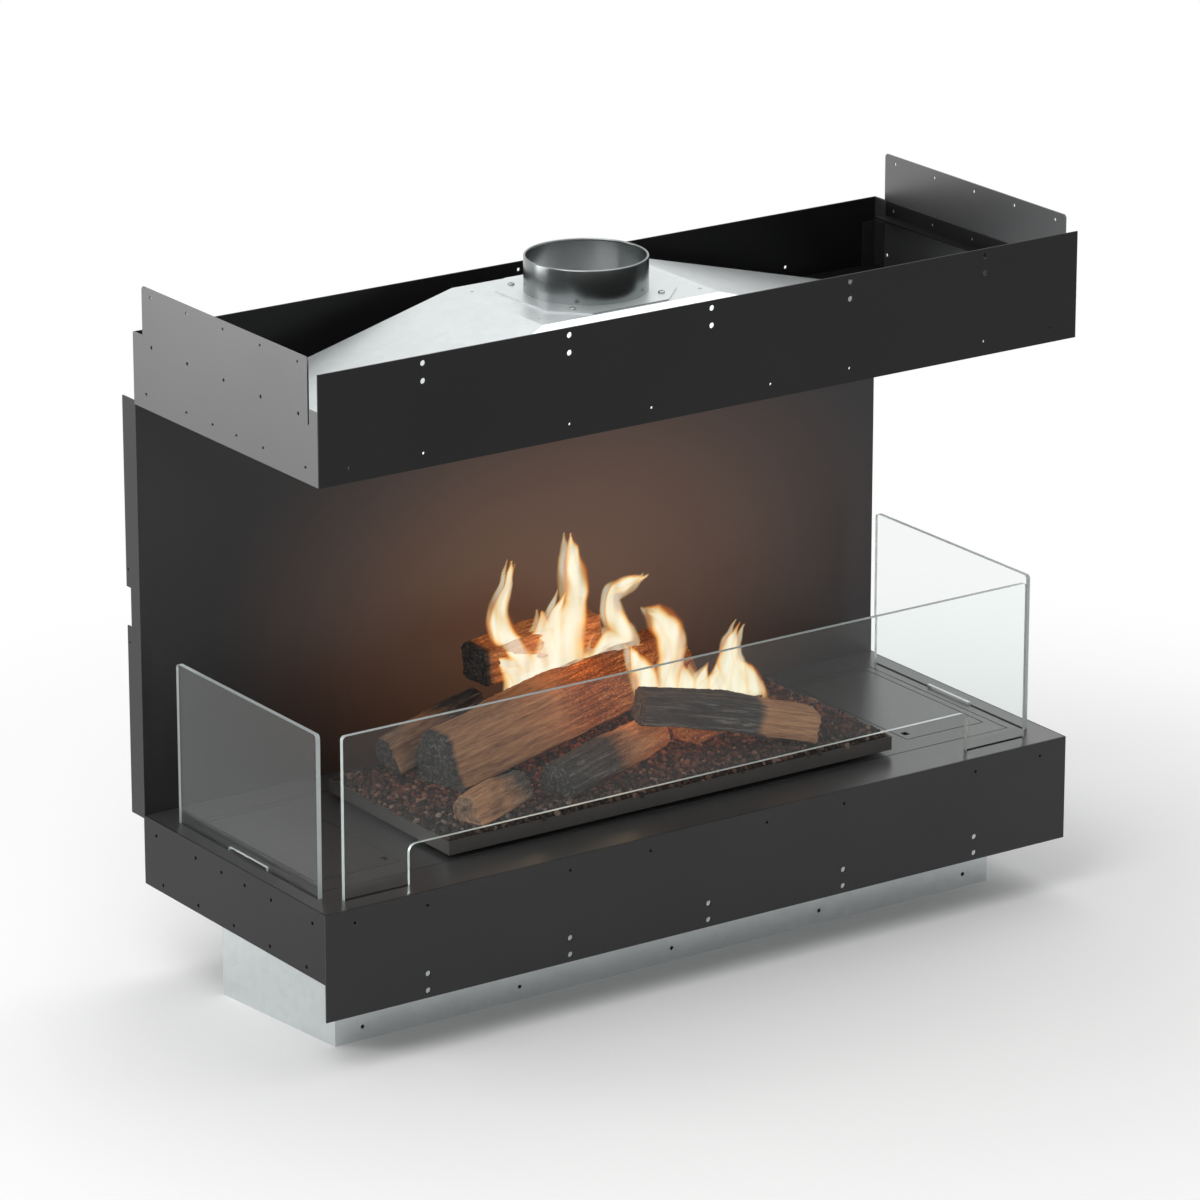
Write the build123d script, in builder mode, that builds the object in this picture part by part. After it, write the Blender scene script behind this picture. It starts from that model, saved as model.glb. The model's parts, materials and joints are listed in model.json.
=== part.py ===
import os
from build123d import *

os.makedirs("parts", exist_ok=True)

# Three-sided bioethanol fireplace for building into a wall, in millimetres.
# X runs along the front, Y to the back, Z up. The origin is on the floor, under the casing's middle.

# Casing
width = 1080
depth = 404
sheet = 2
deck_top = 201.5
opening_height = 512
fascia_height = 132.5
base_side_height = 86.5
hood_side_height = 88
upstand_length = 360
upstand_height = 60
upstand_chamfer = 3
slit_width = 2.5
slit_depth = 18

# Fixing holes in the sheets
pair_hole = 7
small_hole = 3.5
side_hole = 4.5
pair_pitch = 200
pair_rises = (9, 30)
small_hole_rise = 17.5
small_hole_xs = (85, 200, 400, 500)
edge_row_rise = 10
edge_row_pitch = 80
inner_row_rise = 18
inner_row_ys = (26, 84, 174)

# Back wall
return_reach = 18.4
tab_reach = 9.6
return_overrun = 4
notch_bottom = 433
notch_height = 49
wall_hole = 3
upper_tab_hole_rise = 22
lower_tab_hole_drop = 20

# Plinth
plinth_front_end_inset = 59.3
plinth_rear_end_inset = 38
plinth_front_inset = 76.7
plinth_rear_inset = 112
plinth_sheet = 1.5
plinth_hole = 5
plinth_hole_xs = (0, 221, 442.6)
plinth_hole_rise = 17

# Floor, service covers and ledges
deck_side_ring = 40
deck_front_ring = 67
deck_rear_ring = 52
seam = 1.5
ledge = 8
cover_inner = 372.6
cover_outer_margin = 11
cover_front = -99.4
cover_rear_margin = 9
cover_lip = 6
finger_width = 8
finger_length = 10
finger_inset = 6.4
rail_depth = 20
rail_width = 18

# Glass panes and their seats
glass_top = 401.5
glass = 6
glass_seat = 16
glass_corner = 5
front_glass_end_inset = 44
front_glass_inset = 30
front_foot = 89
notch_rise = 50
notch_corner = 10
side_glass_inset = 24.6
side_glass_front_inset = 50
side_glass_rear_inset = 46
recess_front = -39
recess_rear = 45
recess_rise = 3.5
liner = 0.7
glass_gap = 0.3
foot_end_gap = 1
channel_wall = 1.5

# Burner tray and burner
tray_half = 324
tray_front = -131.8
tray_rear = 130.6
tray_wall = 1.5
tray_shadow_gap = 5.9
tray_height = 17.2
ember_slack = 0.3
ember_mound = 5
ember_shoulder = 12
log_gap = 0.4
burner_y = 15
window_length = 70
window_width = 40
window_pitch = 160
window_count = 3
chimney_height = 15
fuel_half = 290
fuel_half_width = 52
fuel_depth = 66
fuel_flange = 16
fuel_hole_gap = 3
lift_gap = 0.3
plate = 1.5
wool_height = 48
shutter_width = 52
shutter_overlap = 6
shutter_gap = 0.4
shutter_tongue = 36
shutter_lip = 8
guide_width = 8
drip_half = 300
drip_half_width = 75
drip_height = 12

# Smoke hood, collar plate and flue
hood_sheet = 1
smoke_end_inset = 90
smoke_front_inset = 34
smoke_rear_inset = 47.6
smoke_top_half = 127
smoke_top_front = -40
smoke_top_rise = 83.5
smoke_flange = 14
smoke_screw_xs = (-330, -110, 110, 330)
smoke_top_hole = 5
flue_y = 56
flue_radius = 75
flue_sheet = 1.5
flue_height = 42.5
flue_bead = 1.4
collar_half = 94
collar_cut = 40
collar_sheet = 2
collar_screw_x = 64
collar_screw_y = 65
smoke_hole_x = 116
smoke_hole_y = 71
screw_head = 4.2
screw_head_height = 2.4
angle_leg = 20
angle_drop = 30

# Levels and faces that the sizes give
half_width = width / 2
half_depth = depth / 2
hood_bottom = deck_top + opening_height
hood_side_top = hood_bottom + hood_side_height
base_bottom = deck_top - base_side_height
upstand_top = hood_side_top + upstand_height
side_inner = half_width - sheet
plinth_front_half = half_width - plinth_front_end_inset
plinth_rear_half = half_width - plinth_rear_end_inset
plinth_front = plinth_front_inset - half_depth
plinth_rear = half_depth - plinth_rear_inset
floor_half = half_width - deck_side_ring
floor_front = deck_front_ring - half_depth
floor_rear = half_depth - deck_rear_ring
cover_outer = floor_half - cover_outer_margin
cover_rear = floor_rear - cover_rear_margin
front_glass_half = half_width - front_glass_end_inset
front_glass_y = front_glass_inset - half_depth
side_glass_x = half_width - side_glass_inset
side_glass_front = side_glass_front_inset - half_depth
side_glass_rear = half_depth - side_glass_rear_inset
smoke_half = half_width - smoke_end_inset
smoke_front = smoke_front_inset - half_depth
smoke_rear = half_depth - smoke_rear_inset
tray_bottom = deck_top + tray_shadow_gap
tray_rim_top = tray_bottom + tray_height
ledge_top = deck_top - sheet
smoke_top = hood_bottom + sheet + smoke_top_rise
pair_xs = (-2 * pair_pitch, -pair_pitch, 0, pair_pitch, 2 * pair_pitch)
edge_row_ys = [step * edge_row_pitch for step in range(-2, 3)]
mirrored_inner_ys = [sign * y for y in inner_row_ys for sign in (-1, 1)]
mirrored_small_xs = [sign * x for x in small_hole_xs for sign in (-1, 1)]
sides = (("left", -1), ("right", 1))


def save(part, label):
    """Labels a finished piece and writes it."""
    part.label = label
    export_step(part, f"parts/{label}.step")


def band(low, high):
    """Centre and length of a stretch."""
    return (low + high) / 2, high - low


def rectangle(x_low, x_high, y_low, y_high, mode=Mode.ADD):
    """Rectangle between two pairs of sketch coordinates."""
    x_mid, x_size = band(x_low, x_high)
    y_mid, y_size = band(y_low, y_high)
    with Locations((x_mid, y_mid)):
        Rectangle(x_size, y_size, mode=mode)


def holes(points, diameter):
    """Round holes through a sheet's sketch."""
    with Locations(*points):
        Circle(diameter / 2, mode=Mode.SUBTRACT)


def side_plane(sign):
    """Plane of a side sheet's left face, with local axes along Y and Z."""
    return Plane.YZ.offset(-half_width if sign < 0 else side_inner)


# Plinth: an open galvanised box with side walls that splay to the back.
with BuildPart() as plinth:
    with BuildSketch(Plane.XY):
        with BuildLine():
            Polyline(
                (-plinth_front_half, plinth_front),
                (plinth_front_half, plinth_front),
                (plinth_rear_half, plinth_rear),
                (-plinth_rear_half, plinth_rear),
                close=True,
            )
        make_face()
    extrude(amount=base_bottom)
    offset(amount=-plinth_sheet, openings=plinth.faces().sort_by(Axis.Z)[-1])
    with BuildSketch(Plane.XZ.offset(-plinth_front)):
        with Locations(*[(sign * x, plinth_hole_rise) for x in plinth_hole_xs for sign in (-1, 1)]):
            Circle(plinth_hole / 2)
    extrude(amount=-plinth_sheet, mode=Mode.SUBTRACT)
save(plinth.part, "plinth")

# Front fascias: the base one hangs below the deck, the hood one stands above the opening.
for label, bottom, free_edge, inward in (
    ("base_front_fascia", deck_top - fascia_height, deck_top - fascia_height, 1),
    ("hood_front_fascia", hood_bottom, hood_bottom + fascia_height, -1),
):
    opening_edge = free_edge + inward * fascia_height
    with BuildPart() as fascia:
        with BuildSketch(Plane.XZ.offset(half_depth - sheet)):
            rectangle(-half_width, half_width, bottom, bottom + fascia_height)
            for rise in pair_rises:
                holes([(x, free_edge + inward * rise) for x in pair_xs], pair_hole)
            small_z = opening_edge - inward * small_hole_rise
            holes([(x, small_z) for x in mirrored_small_xs], small_hole)
        extrude(amount=sheet)
    save(fascia.part, label)

# Base box: side and back sheets, bottom pan and corner angles.
for side, sign in sides:
    with BuildPart() as base_side:
        with BuildSketch(side_plane(sign)):
            rectangle(sheet - half_depth, half_depth, base_bottom, deck_top)
            holes([(y, base_bottom + edge_row_rise) for y in edge_row_ys], side_hole)
            holes([(y, deck_top - inner_row_rise) for y in mirrored_inner_ys], side_hole)
        extrude(amount=sheet)
    save(base_side.part, f"base_{side}_side")

for label, bottom, top, edge, inward in (
    ("base_back_panel", base_bottom, deck_top, base_bottom, 1),
    ("hood_back_panel", hood_bottom, hood_side_top, hood_side_top, -1),
):
    far_edge = bottom + top - edge
    with BuildPart() as back_panel:
        with BuildSketch(Plane.XZ.offset(-half_depth)):
            rectangle(-side_inner, side_inner, bottom, top)
            holes([(0, edge + inward * edge_row_rise)], side_hole)
            holes([(x, far_edge - inward * inner_row_rise) for x in (pair_xs[0], pair_xs[-1])], side_hole)
        extrude(amount=sheet)
    save(back_panel.part, label)

with BuildPart() as base_pan:
    with BuildSketch(Plane.XY.offset(base_bottom)):
        rectangle(-side_inner, side_inner, sheet - half_depth, half_depth - sheet)
    extrude(amount=sheet)
save(base_pan.part, "base_pan")


# Four upright angles in the corners of each box of sheets.
inner_depth = half_depth - sheet
for label, low, high in (
    ("base_corner_angles", base_bottom + sheet, ledge_top),
    ("hood_corner_angles", hood_bottom + sheet, hood_side_top - angle_drop),
):
    with BuildPart() as corner_angles:
        with BuildSketch(Plane.XY.offset(low)):
            for x_sign in (-1, 1):
                for y_sign in (-1, 1):
                    x_ends = sorted((x_sign * side_inner, x_sign * (side_inner - angle_leg)))
                    y_ends = sorted((y_sign * inner_depth, y_sign * (inner_depth - angle_leg)))
                    x_thin = sorted((x_sign * side_inner, x_sign * (side_inner - sheet)))
                    y_thin = sorted((y_sign * inner_depth, y_sign * (inner_depth - sheet)))
                    rectangle(*x_ends, *y_thin)
                    rectangle(*x_thin, *y_ends)
        extrude(amount=high - low)
    save(corner_angles.part, label)

# Glass seats: each foot stands in a lined slot over a channel.
slot = glass + 2 * (liner + glass_gap)
foot_bottom = deck_top - glass_seat
liner_bottom = foot_bottom - glass_gap - liner
front_feet = [
    (-front_glass_half, front_foot - front_glass_half),
    (front_glass_half - front_foot, front_glass_half),
]
side_feet = [(side_glass_front, recess_front), (recess_rear, side_glass_rear)]


def slot_boxes(grow):
    """Plan rectangles of the front seats, and of the side seats by sign, grown by a margin."""
    reach = slot / 2 + grow
    front = [
        (low - foot_end_gap, high + foot_end_gap, front_glass_y - reach, front_glass_y + reach)
        for low, high in front_feet
    ]
    by_sign = {}
    for name, sign in sides:
        x = sign * side_glass_x
        by_sign[name] = [
            (x - reach, x + reach, low - foot_end_gap, high + foot_end_gap)
            for low, high in side_feet
        ]
    return front, by_sign


front_slots, side_slots = slot_boxes(0)
front_channels, side_channels = slot_boxes(channel_wall)
front_inner = [(a, b, c + liner, d - liner) for a, b, c, d in front_slots]
side_inners = {
    name: [(a + liner, b - liner, c, d) for a, b, c, d in boxes] for name, boxes in side_slots.items()
}


channel_bottom = liner_bottom - channel_wall
for name, channels, slots, cavities in (
    ("front", front_channels, front_slots, front_inner),
    ("left", side_channels["left"], side_slots["left"], side_inners["left"]),
    ("right", side_channels["right"], side_slots["right"], side_inners["right"]),
):
    with BuildPart() as seats:
        with BuildSketch(Plane.XY.offset(channel_bottom)):
            for box in channels:
                rectangle(*box)
        extrude(amount=ledge_top - channel_bottom)
        with BuildSketch(Plane.XY.offset(liner_bottom)):
            for box in slots:
                rectangle(*box)
        extrude(amount=ledge_top - liner_bottom, mode=Mode.SUBTRACT)
    save(seats.part, f"{name}_glass_seats")

    with BuildPart() as liners:
        with BuildSketch(Plane.XY.offset(liner_bottom)):
            for box in slots:
                rectangle(*box)
        extrude(amount=deck_top - liner_bottom)
        with BuildSketch(Plane.XY.offset(liner_bottom + liner)):
            for box in cavities:
                rectangle(*box)
        extrude(amount=deck_top - liner_bottom - liner, mode=Mode.SUBTRACT)
    save(liners.part, f"{name}_glass_liners")

# Deck plate: the ring that the glass stands in, open in the middle for the drop-in floor.
with BuildPart() as deck_plate:
    with BuildSketch(Plane.XY.offset(ledge_top)):
        rectangle(-side_inner, side_inner, sheet - half_depth, half_depth - sheet)
        rectangle(-floor_half, floor_half, floor_front, floor_rear, mode=Mode.SUBTRACT)
        for box in front_slots + side_slots["left"] + side_slots["right"]:
            rectangle(*box, mode=Mode.SUBTRACT)
    extrude(amount=sheet)
save(deck_plate.part, "deck_plate")

# Drop-in floor plate with the burner opening and the two service openings.
fuel_opening_half = fuel_half + fuel_hole_gap
fuel_opening_half_width = fuel_half_width + fuel_hole_gap
with BuildPart() as floor_plate:
    with BuildSketch(Plane.XY.offset(ledge_top)):
        rectangle(seam - floor_half, floor_half - seam, floor_front + seam, floor_rear - seam)
        rectangle(
            -fuel_opening_half,
            fuel_opening_half,
            burner_y - fuel_opening_half_width,
            burner_y + fuel_opening_half_width,
            mode=Mode.SUBTRACT,
        )
        for sign in (-1, 1):
            x_ends = sorted((sign * (cover_inner - seam), sign * cover_outer))
            rectangle(*x_ends, cover_front - seam, cover_rear, mode=Mode.SUBTRACT)
    extrude(amount=sheet)
save(floor_plate.part, "floor_plate")

# Ledges under the seams.
frame_outer = floor_half + ledge
frame_inner = cover_outer - cover_lip
frame_front = floor_front + ledge + cover_lip
frame_rear = cover_rear - cover_lip
with BuildPart() as floor_ledge_frame:
    with BuildSketch(Plane.XY.offset(ledge_top - sheet)):
        rectangle(-frame_outer, frame_outer, floor_front - ledge, floor_rear + ledge)
        rectangle(-frame_inner, frame_inner, frame_front, frame_rear, mode=Mode.SUBTRACT)
    extrude(amount=sheet)
save(floor_ledge_frame.part, "floor_ledge_frame")

for side, sign in sides:
    edge = sign * (cover_inner - seam)
    ledge_x = sorted((edge - sign * ledge, edge + sign * ledge))
    front_x = sorted((edge - sign * ledge, sign * frame_inner))
    edge_y = cover_front - seam
    with BuildPart() as cover_ledge:
        with BuildSketch(Plane.XY.offset(ledge_top - sheet)):
            rectangle(*ledge_x, edge_y - ledge, frame_rear)
            rectangle(*front_x, edge_y - ledge, edge_y + ledge)
        extrude(amount=sheet)
    save(cover_ledge.part, f"{side}_cover_ledge")

    # Channel that carries the floor plate between the burner and the cover.
    rail_inner = fuel_opening_half + ledge
    rail_x = sorted((sign * rail_inner, sign * (rail_inner + rail_width)))
    web_x = sorted((sign * rail_inner, sign * (rail_inner + sheet)))
    with BuildPart() as floor_rail:
        with BuildSketch(Plane.XZ.offset(-frame_rear)):
            rectangle(*rail_x, ledge_top - sheet, ledge_top)
            rectangle(*web_x, ledge_top - rail_depth, ledge_top)
            rectangle(*rail_x, ledge_top - rail_depth, ledge_top - rail_depth + sheet)
        extrude(amount=frame_rear - frame_front)
    save(floor_rail.part, f"{side}_floor_rail")

    # Service cover with a finger slot at its inner front corner.
    finger_edge = cover_inner + finger_inset
    finger_x = sorted((sign * finger_edge, sign * (finger_edge + finger_width)))
    finger_y = cover_front + 2 * finger_inset
    cover_x = sorted((sign * cover_inner, sign * (cover_outer - seam)))
    with BuildPart() as service_cover:
        with BuildSketch(Plane.XY.offset(ledge_top + lift_gap)):
            rectangle(*cover_x, cover_front, cover_rear - seam)
            rectangle(*finger_x, finger_y, finger_y + finger_length, mode=Mode.SUBTRACT)
        extrude(amount=sheet - lift_gap)
    save(service_cover.part, f"{side}_service_cover")

# Back wall with returns and the tabs that hook it into the building's frame.
tab_top = hood_bottom + return_overrun
tab_bottom = deck_top - return_overrun
notch_top = notch_bottom + notch_height
return_rear = half_depth + return_reach
tab_rear = return_rear + tab_reach
tab_hole_y = half_depth + return_reach + tab_reach / 2
tab_hole_zs = (notch_bottom - lower_tab_hole_drop, notch_top + upper_tab_hole_rise)
with BuildPart() as back_wall:
    with BuildSketch(Plane.XZ.offset(-half_depth)):
        rectangle(-half_width, half_width, deck_top, hood_bottom)
    extrude(amount=sheet)
    for sign in (-1, 1):
        with BuildSketch(side_plane(sign)):
            rectangle(half_depth, return_rear, tab_bottom, tab_top)
            rectangle(return_rear, tab_rear, tab_bottom, notch_bottom)
            rectangle(return_rear, tab_rear, notch_top, tab_top)
            holes([(tab_hole_y, z) for z in tab_hole_zs], wall_hole)
        extrude(amount=sheet)
save(back_wall.part, "back_wall")

# Hood sides with their upstands, and the rails inside them.
for side, sign in sides:
    with BuildPart() as hood_side:
        with BuildSketch(side_plane(sign)) as outline:
            rectangle(-upstand_length / 2, upstand_length / 2, hood_side_top, upstand_top)
            chamfer(outline.vertices().group_by(Axis.Y)[-1], upstand_chamfer)
            rectangle(sheet - half_depth, half_depth, hood_bottom, hood_side_top)
            slit_rear = -upstand_length / 2
            slit_bottom = hood_side_top - slit_depth
            rectangle(slit_rear - slit_width, slit_rear, slit_bottom, hood_side_top, mode=Mode.SUBTRACT)
            holes([(y, upstand_top - edge_row_rise) for y in edge_row_ys], side_hole)
            holes([(y, hood_side_top - edge_row_rise) for y in edge_row_ys], side_hole)
            holes([(y, hood_bottom + inner_row_rise) for y in mirrored_inner_ys], side_hole)
        extrude(amount=sheet)
    save(hood_side.part, f"hood_{side}_side")

    rail_face = sorted((sign * side_inner, sign * (side_inner - sheet)))
    foot_x = sorted((sign * (side_inner - sheet), sign * (side_inner - rail_width)))
    rail_half = upstand_length / 2 - 2 * slit_width
    with BuildPart() as hood_rail:
        with BuildSketch(Plane.YZ.offset(rail_face[0])):
            rectangle(-rail_half, rail_half, hood_side_top - rail_depth, hood_side_top)
            holes([(y, hood_side_top - edge_row_rise) for y in edge_row_ys], side_hole)
        extrude(amount=sheet)
        with BuildSketch(Plane.XY.offset(hood_side_top - rail_depth)):
            rectangle(*foot_x, -rail_half, rail_half)
        extrude(amount=sheet)
    save(hood_rail.part, f"hood_{side}_rail")

# Ceiling of the fire, open under the smoke hood.
smoke_inner = smoke_half - smoke_flange
with BuildPart() as hood_ceiling:
    with BuildSketch(Plane.XY.offset(hood_bottom)):
        rectangle(-side_inner, side_inner, sheet - half_depth, half_depth - sheet)
        rectangle(
            -smoke_inner,
            smoke_inner,
            smoke_front + smoke_flange,
            smoke_rear - smoke_flange,
            mode=Mode.SUBTRACT,
        )
    extrude(amount=sheet)
save(hood_ceiling.part, "hood_ceiling")

# Smoke hood: a hipped sheet cover that leads the fumes up to the collar.
smoke_bottom = hood_bottom + sheet
with BuildPart() as smoke_hood:
    with BuildSketch(Plane.XY.offset(smoke_bottom)):
        rectangle(-smoke_half, smoke_half, smoke_front, smoke_rear)
    with BuildSketch(Plane.XY.offset(smoke_top)):
        rectangle(-smoke_top_half, smoke_top_half, smoke_top_front, smoke_rear)
    loft(ruled=True)
    offset(amount=-hood_sheet, openings=smoke_hood.faces().sort_by(Axis.Z)[0])
    with BuildSketch(Plane.XY.offset(smoke_bottom)):
        rectangle(
            -smoke_half - smoke_flange,
            smoke_half + smoke_flange,
            smoke_front - smoke_flange,
            smoke_rear + smoke_flange,
        )
        rectangle(
            hood_sheet - smoke_half,
            smoke_half - hood_sheet,
            smoke_front + hood_sheet,
            smoke_rear - hood_sheet,
            mode=Mode.SUBTRACT,
        )
    extrude(amount=hood_sheet)
    with BuildSketch(Plane.XY.offset(smoke_top - hood_sheet)):
        with Locations((0, flue_y)):
            Circle(flue_radius - flue_sheet)
        with Locations((0, flue_y)):
            with GridLocations(2 * smoke_hole_x, 2 * smoke_hole_y, 2, 2):
                Circle(smoke_top_hole / 2)
    extrude(amount=hood_sheet, mode=Mode.SUBTRACT)
save(smoke_hood.part, "smoke_hood")

with BuildPart() as hood_screws:
    with BuildSketch(Plane.XY.offset(smoke_bottom + hood_sheet)):
        with Locations(*[(x, smoke_front - smoke_flange / 2) for x in smoke_screw_xs]):
            Circle(screw_head)
        with Locations(*[(x, smoke_rear + smoke_flange / 2) for x in smoke_screw_xs]):
            Circle(screw_head)
    extrude(amount=screw_head_height)
save(hood_screws.part, "hood_screws")

with BuildPart() as collar_plate:
    with BuildSketch(Plane.XY.offset(smoke_top)) as outline:
        with Locations((0, flue_y)):
            Rectangle(2 * collar_half, 2 * collar_half)
        chamfer(outline.vertices(), collar_cut)
        with Locations((0, flue_y)):
            Circle(flue_radius - flue_sheet, mode=Mode.SUBTRACT)
    extrude(amount=collar_sheet)
save(collar_plate.part, "collar_plate")

# Flue collar: a plain tube with a bead turned in at its rim.
flue_bottom = smoke_top + collar_sheet
flue_top = flue_bottom + flue_height
with BuildPart() as flue_collar:
    with BuildSketch(Plane.XZ.offset(-flue_y)):
        rectangle(flue_radius - flue_sheet, flue_radius, flue_bottom, flue_top - flue_bead)
        with Locations((flue_radius - flue_bead, flue_top - flue_bead)):
            Circle(flue_bead)
    revolve(axis=Axis((0, flue_y, 0), (0, 0, 1)))
save(flue_collar.part, "flue_collar")

with BuildPart() as collar_screws:
    with BuildSketch(Plane.XY.offset(smoke_top + collar_sheet)):
        with Locations((0, flue_y)):
            with GridLocations(2 * collar_screw_x, 2 * collar_screw_y, 2, 2):
                Circle(screw_head)
    extrude(amount=screw_head_height)
save(collar_screws.part, "collar_screws")

# Glass panes
with BuildPart() as front_glass:
    with BuildSketch(Plane.XZ.offset(-front_glass_y - glass / 2)) as outline:
        rectangle(-front_glass_half, front_glass_half, foot_bottom, glass_top)
        fillet(outline.vertices().group_by(Axis.Y)[-1], glass_corner)
        notch_half = front_glass_half - front_foot
        notch_top_z = deck_top + notch_rise
        rectangle(-notch_half, notch_half, foot_bottom, notch_top_z, mode=Mode.SUBTRACT)
        notch_corners = outline.vertices().filter_by_position(Axis.Y, notch_top_z - 1, notch_top_z + 1)
        fillet(notch_corners, notch_corner)
    extrude(amount=glass)
save(front_glass.part, "front_glass")

for side, sign in sides:
    with BuildPart() as side_glass:
        with BuildSketch(Plane.YZ.offset(sign * side_glass_x - glass / 2)) as outline:
            rectangle(side_glass_front, side_glass_rear, foot_bottom, glass_top)
            fillet(outline.vertices().group_by(Axis.Y)[-1], glass_corner)
            rectangle(recess_front, recess_rear, foot_bottom, deck_top + recess_rise, mode=Mode.SUBTRACT)
        extrude(amount=glass)
    save(side_glass.part, f"{side}_glass")

# Fuel box, hanging by its flange in the floor plate.
window_steps = range(-(window_count // 2), window_count // 2 + 1)
burner_windows = [(step * window_pitch, burner_y) for step in window_steps]
flange_bottom = deck_top + lift_gap
flange_top = flange_bottom + plate
with BuildPart() as fuel_box:
    with BuildSketch(Plane.XY.offset(deck_top - fuel_depth)):
        with Locations((0, burner_y)):
            Rectangle(2 * fuel_half, 2 * fuel_half_width)
    extrude(amount=fuel_depth + lift_gap + plate)
    with BuildSketch(Plane.XY.offset(flange_bottom)):
        with Locations((0, burner_y)):
            Rectangle(2 * (fuel_half + fuel_flange), 2 * (fuel_half_width + fuel_flange))
    extrude(amount=plate)
    with BuildSketch(Plane.XY.offset(deck_top - fuel_depth + plate)):
        with Locations((0, burner_y)):
            Rectangle(2 * (fuel_half - plate), 2 * (fuel_half_width - plate))
    extrude(amount=fuel_depth + lift_gap, mode=Mode.SUBTRACT)
save(fuel_box.part, "fuel_box")

with BuildPart() as ceramic_wool:
    with BuildSketch(Plane.XY.offset(deck_top - fuel_depth + plate)):
        with Locations((0, burner_y)):
            Rectangle(2 * (fuel_half - plate - lift_gap), 2 * (fuel_half_width - plate - lift_gap))
    extrude(amount=wool_height)
save(ceramic_wool.part, "ceramic_wool")

with BuildPart() as burner_top_plate:
    with BuildSketch(Plane.XY.offset(flange_top)):
        with Locations((0, burner_y)):
            Rectangle(2 * (fuel_half + fuel_flange), 2 * (fuel_half_width + fuel_flange))
        with Locations(*burner_windows):
            Rectangle(window_length, window_width, mode=Mode.SUBTRACT)
    extrude(amount=plate)
save(burner_top_plate.part, "burner_top_plate")

# Shutter: its windows line up with the burner's when it is in, and its blades cover them when it is out.
top_plate_top = flange_top + plate
guide_y = shutter_width / 2 + shutter_gap + guide_width / 2
shutter_z = top_plate_top + shutter_gap
shutter_right = burner_windows[-1][0] + window_length / 2 + shutter_overlap
shutter_left = -shutter_right - window_pitch / 2
tongue_end = tray_half + shutter_lip
tongue_ys = (burner_y - shutter_tongue / 2, burner_y + shutter_tongue / 2)
with BuildPart() as shutter_guides:
    with BuildSketch(Plane.XY.offset(top_plate_top)):
        for y_sign in (-1, 1):
            with Locations((0, burner_y + y_sign * guide_y)):
                Rectangle(2 * fuel_half, guide_width)
    extrude(amount=tray_bottom - top_plate_top)
save(shutter_guides.part, "shutter_guides")

with BuildPart() as shutter:
    with BuildSketch(Plane.XY.offset(shutter_z)):
        rectangle(shutter_left, shutter_right, burner_y - shutter_width / 2, burner_y + shutter_width / 2)
        rectangle(shutter_right, tongue_end, *tongue_ys)
        with Locations(*burner_windows):
            Rectangle(window_length, window_width, mode=Mode.SUBTRACT)
    extrude(amount=plate)
    with BuildSketch(Plane.XY.offset(shutter_z)):
        rectangle(tongue_end - plate, tongue_end, *tongue_ys)
    extrude(amount=shutter_lip)
save(shutter.part, "shutter")

with BuildPart() as drip_pan:
    with BuildSketch(Plane.XY.offset(base_bottom + sheet)):
        with Locations((0, burner_y)):
            Rectangle(2 * drip_half, 2 * drip_half_width)
    extrude(amount=drip_height)
    offset(amount=-plate, openings=drip_pan.faces().sort_by(Axis.Z)[-1])
save(drip_pan.part, "drip_pan")

# Burner tray with a chimney round each window, and the bed of chips that fills it.
chimney_top = tray_bottom + tray_wall + chimney_height
with BuildPart() as burner_tray:
    with BuildSketch(Plane.XY.offset(tray_bottom)):
        rectangle(-tray_half, tray_half, tray_front, tray_rear)
    extrude(amount=tray_rim_top - tray_bottom)
    offset(amount=-tray_wall, openings=burner_tray.faces().sort_by(Axis.Z)[-1])
    with BuildSketch(Plane.XY.offset(tray_bottom)):
        with Locations(*burner_windows):
            Rectangle(window_length + 2 * tray_wall, window_width + 2 * tray_wall)
    extrude(amount=chimney_top - tray_bottom)
    with BuildSketch(Plane.XY.offset(tray_bottom)):
        with Locations(*burner_windows):
            Rectangle(window_length, window_width)
    extrude(amount=chimney_top - tray_bottom, mode=Mode.SUBTRACT)
save(burner_tray.part, "burner_tray")

bed_bottom = tray_bottom + tray_wall
bed_edge = tray_wall + ember_slack
bed_left, bed_right = bed_edge - tray_half, tray_half - bed_edge
bed_front, bed_rear = tray_front + bed_edge, tray_rear - bed_edge
ember_top = tray_rim_top + ember_mound
with BuildPart() as ember_bed:
    with BuildSketch(Plane.XY.offset(bed_bottom)):
        rectangle(bed_left, bed_right, bed_front, bed_rear)
    extrude(amount=tray_rim_top - bed_bottom)
    with BuildSketch(Plane.XY.offset(tray_rim_top)):
        rectangle(bed_left, bed_right, bed_front, bed_rear)
    with BuildSketch(Plane.XY.offset(ember_top)):
        rectangle(
            bed_left + ember_shoulder,
            bed_right - ember_shoulder,
            bed_front + ember_shoulder,
            bed_rear - ember_shoulder,
        )
    loft(ruled=True)
    with BuildSketch(Plane.XY.offset(bed_bottom)):
        with Locations(*burner_windows):
            Rectangle(window_length + 2 * bed_edge, window_width + 2 * bed_edge)
    extrude(amount=ember_top - bed_bottom, mode=Mode.SUBTRACT)
save(ember_bed.part, "ember_bed")


# Outlines of the log sections, as shares of breadth and height. The first coordinate runs to the back.
quarter_split = ((-0.5, 0.08), (-0.42, 0), (0.42, 0), (0.5, 0.5), (0.24, 1), (-0.16, 0.97))
half_split = ((-0.5, 0.3), (-0.38, 0), (0.4, 0), (0.5, 0.42), (0.32, 0.86), (0, 1), (-0.34, 0.8))
slab_split = ((-0.5, 0.1), (-0.44, 0), (0.46, 0), (0.5, 0.8), (0.34, 1), (-0.42, 0.93))


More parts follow.
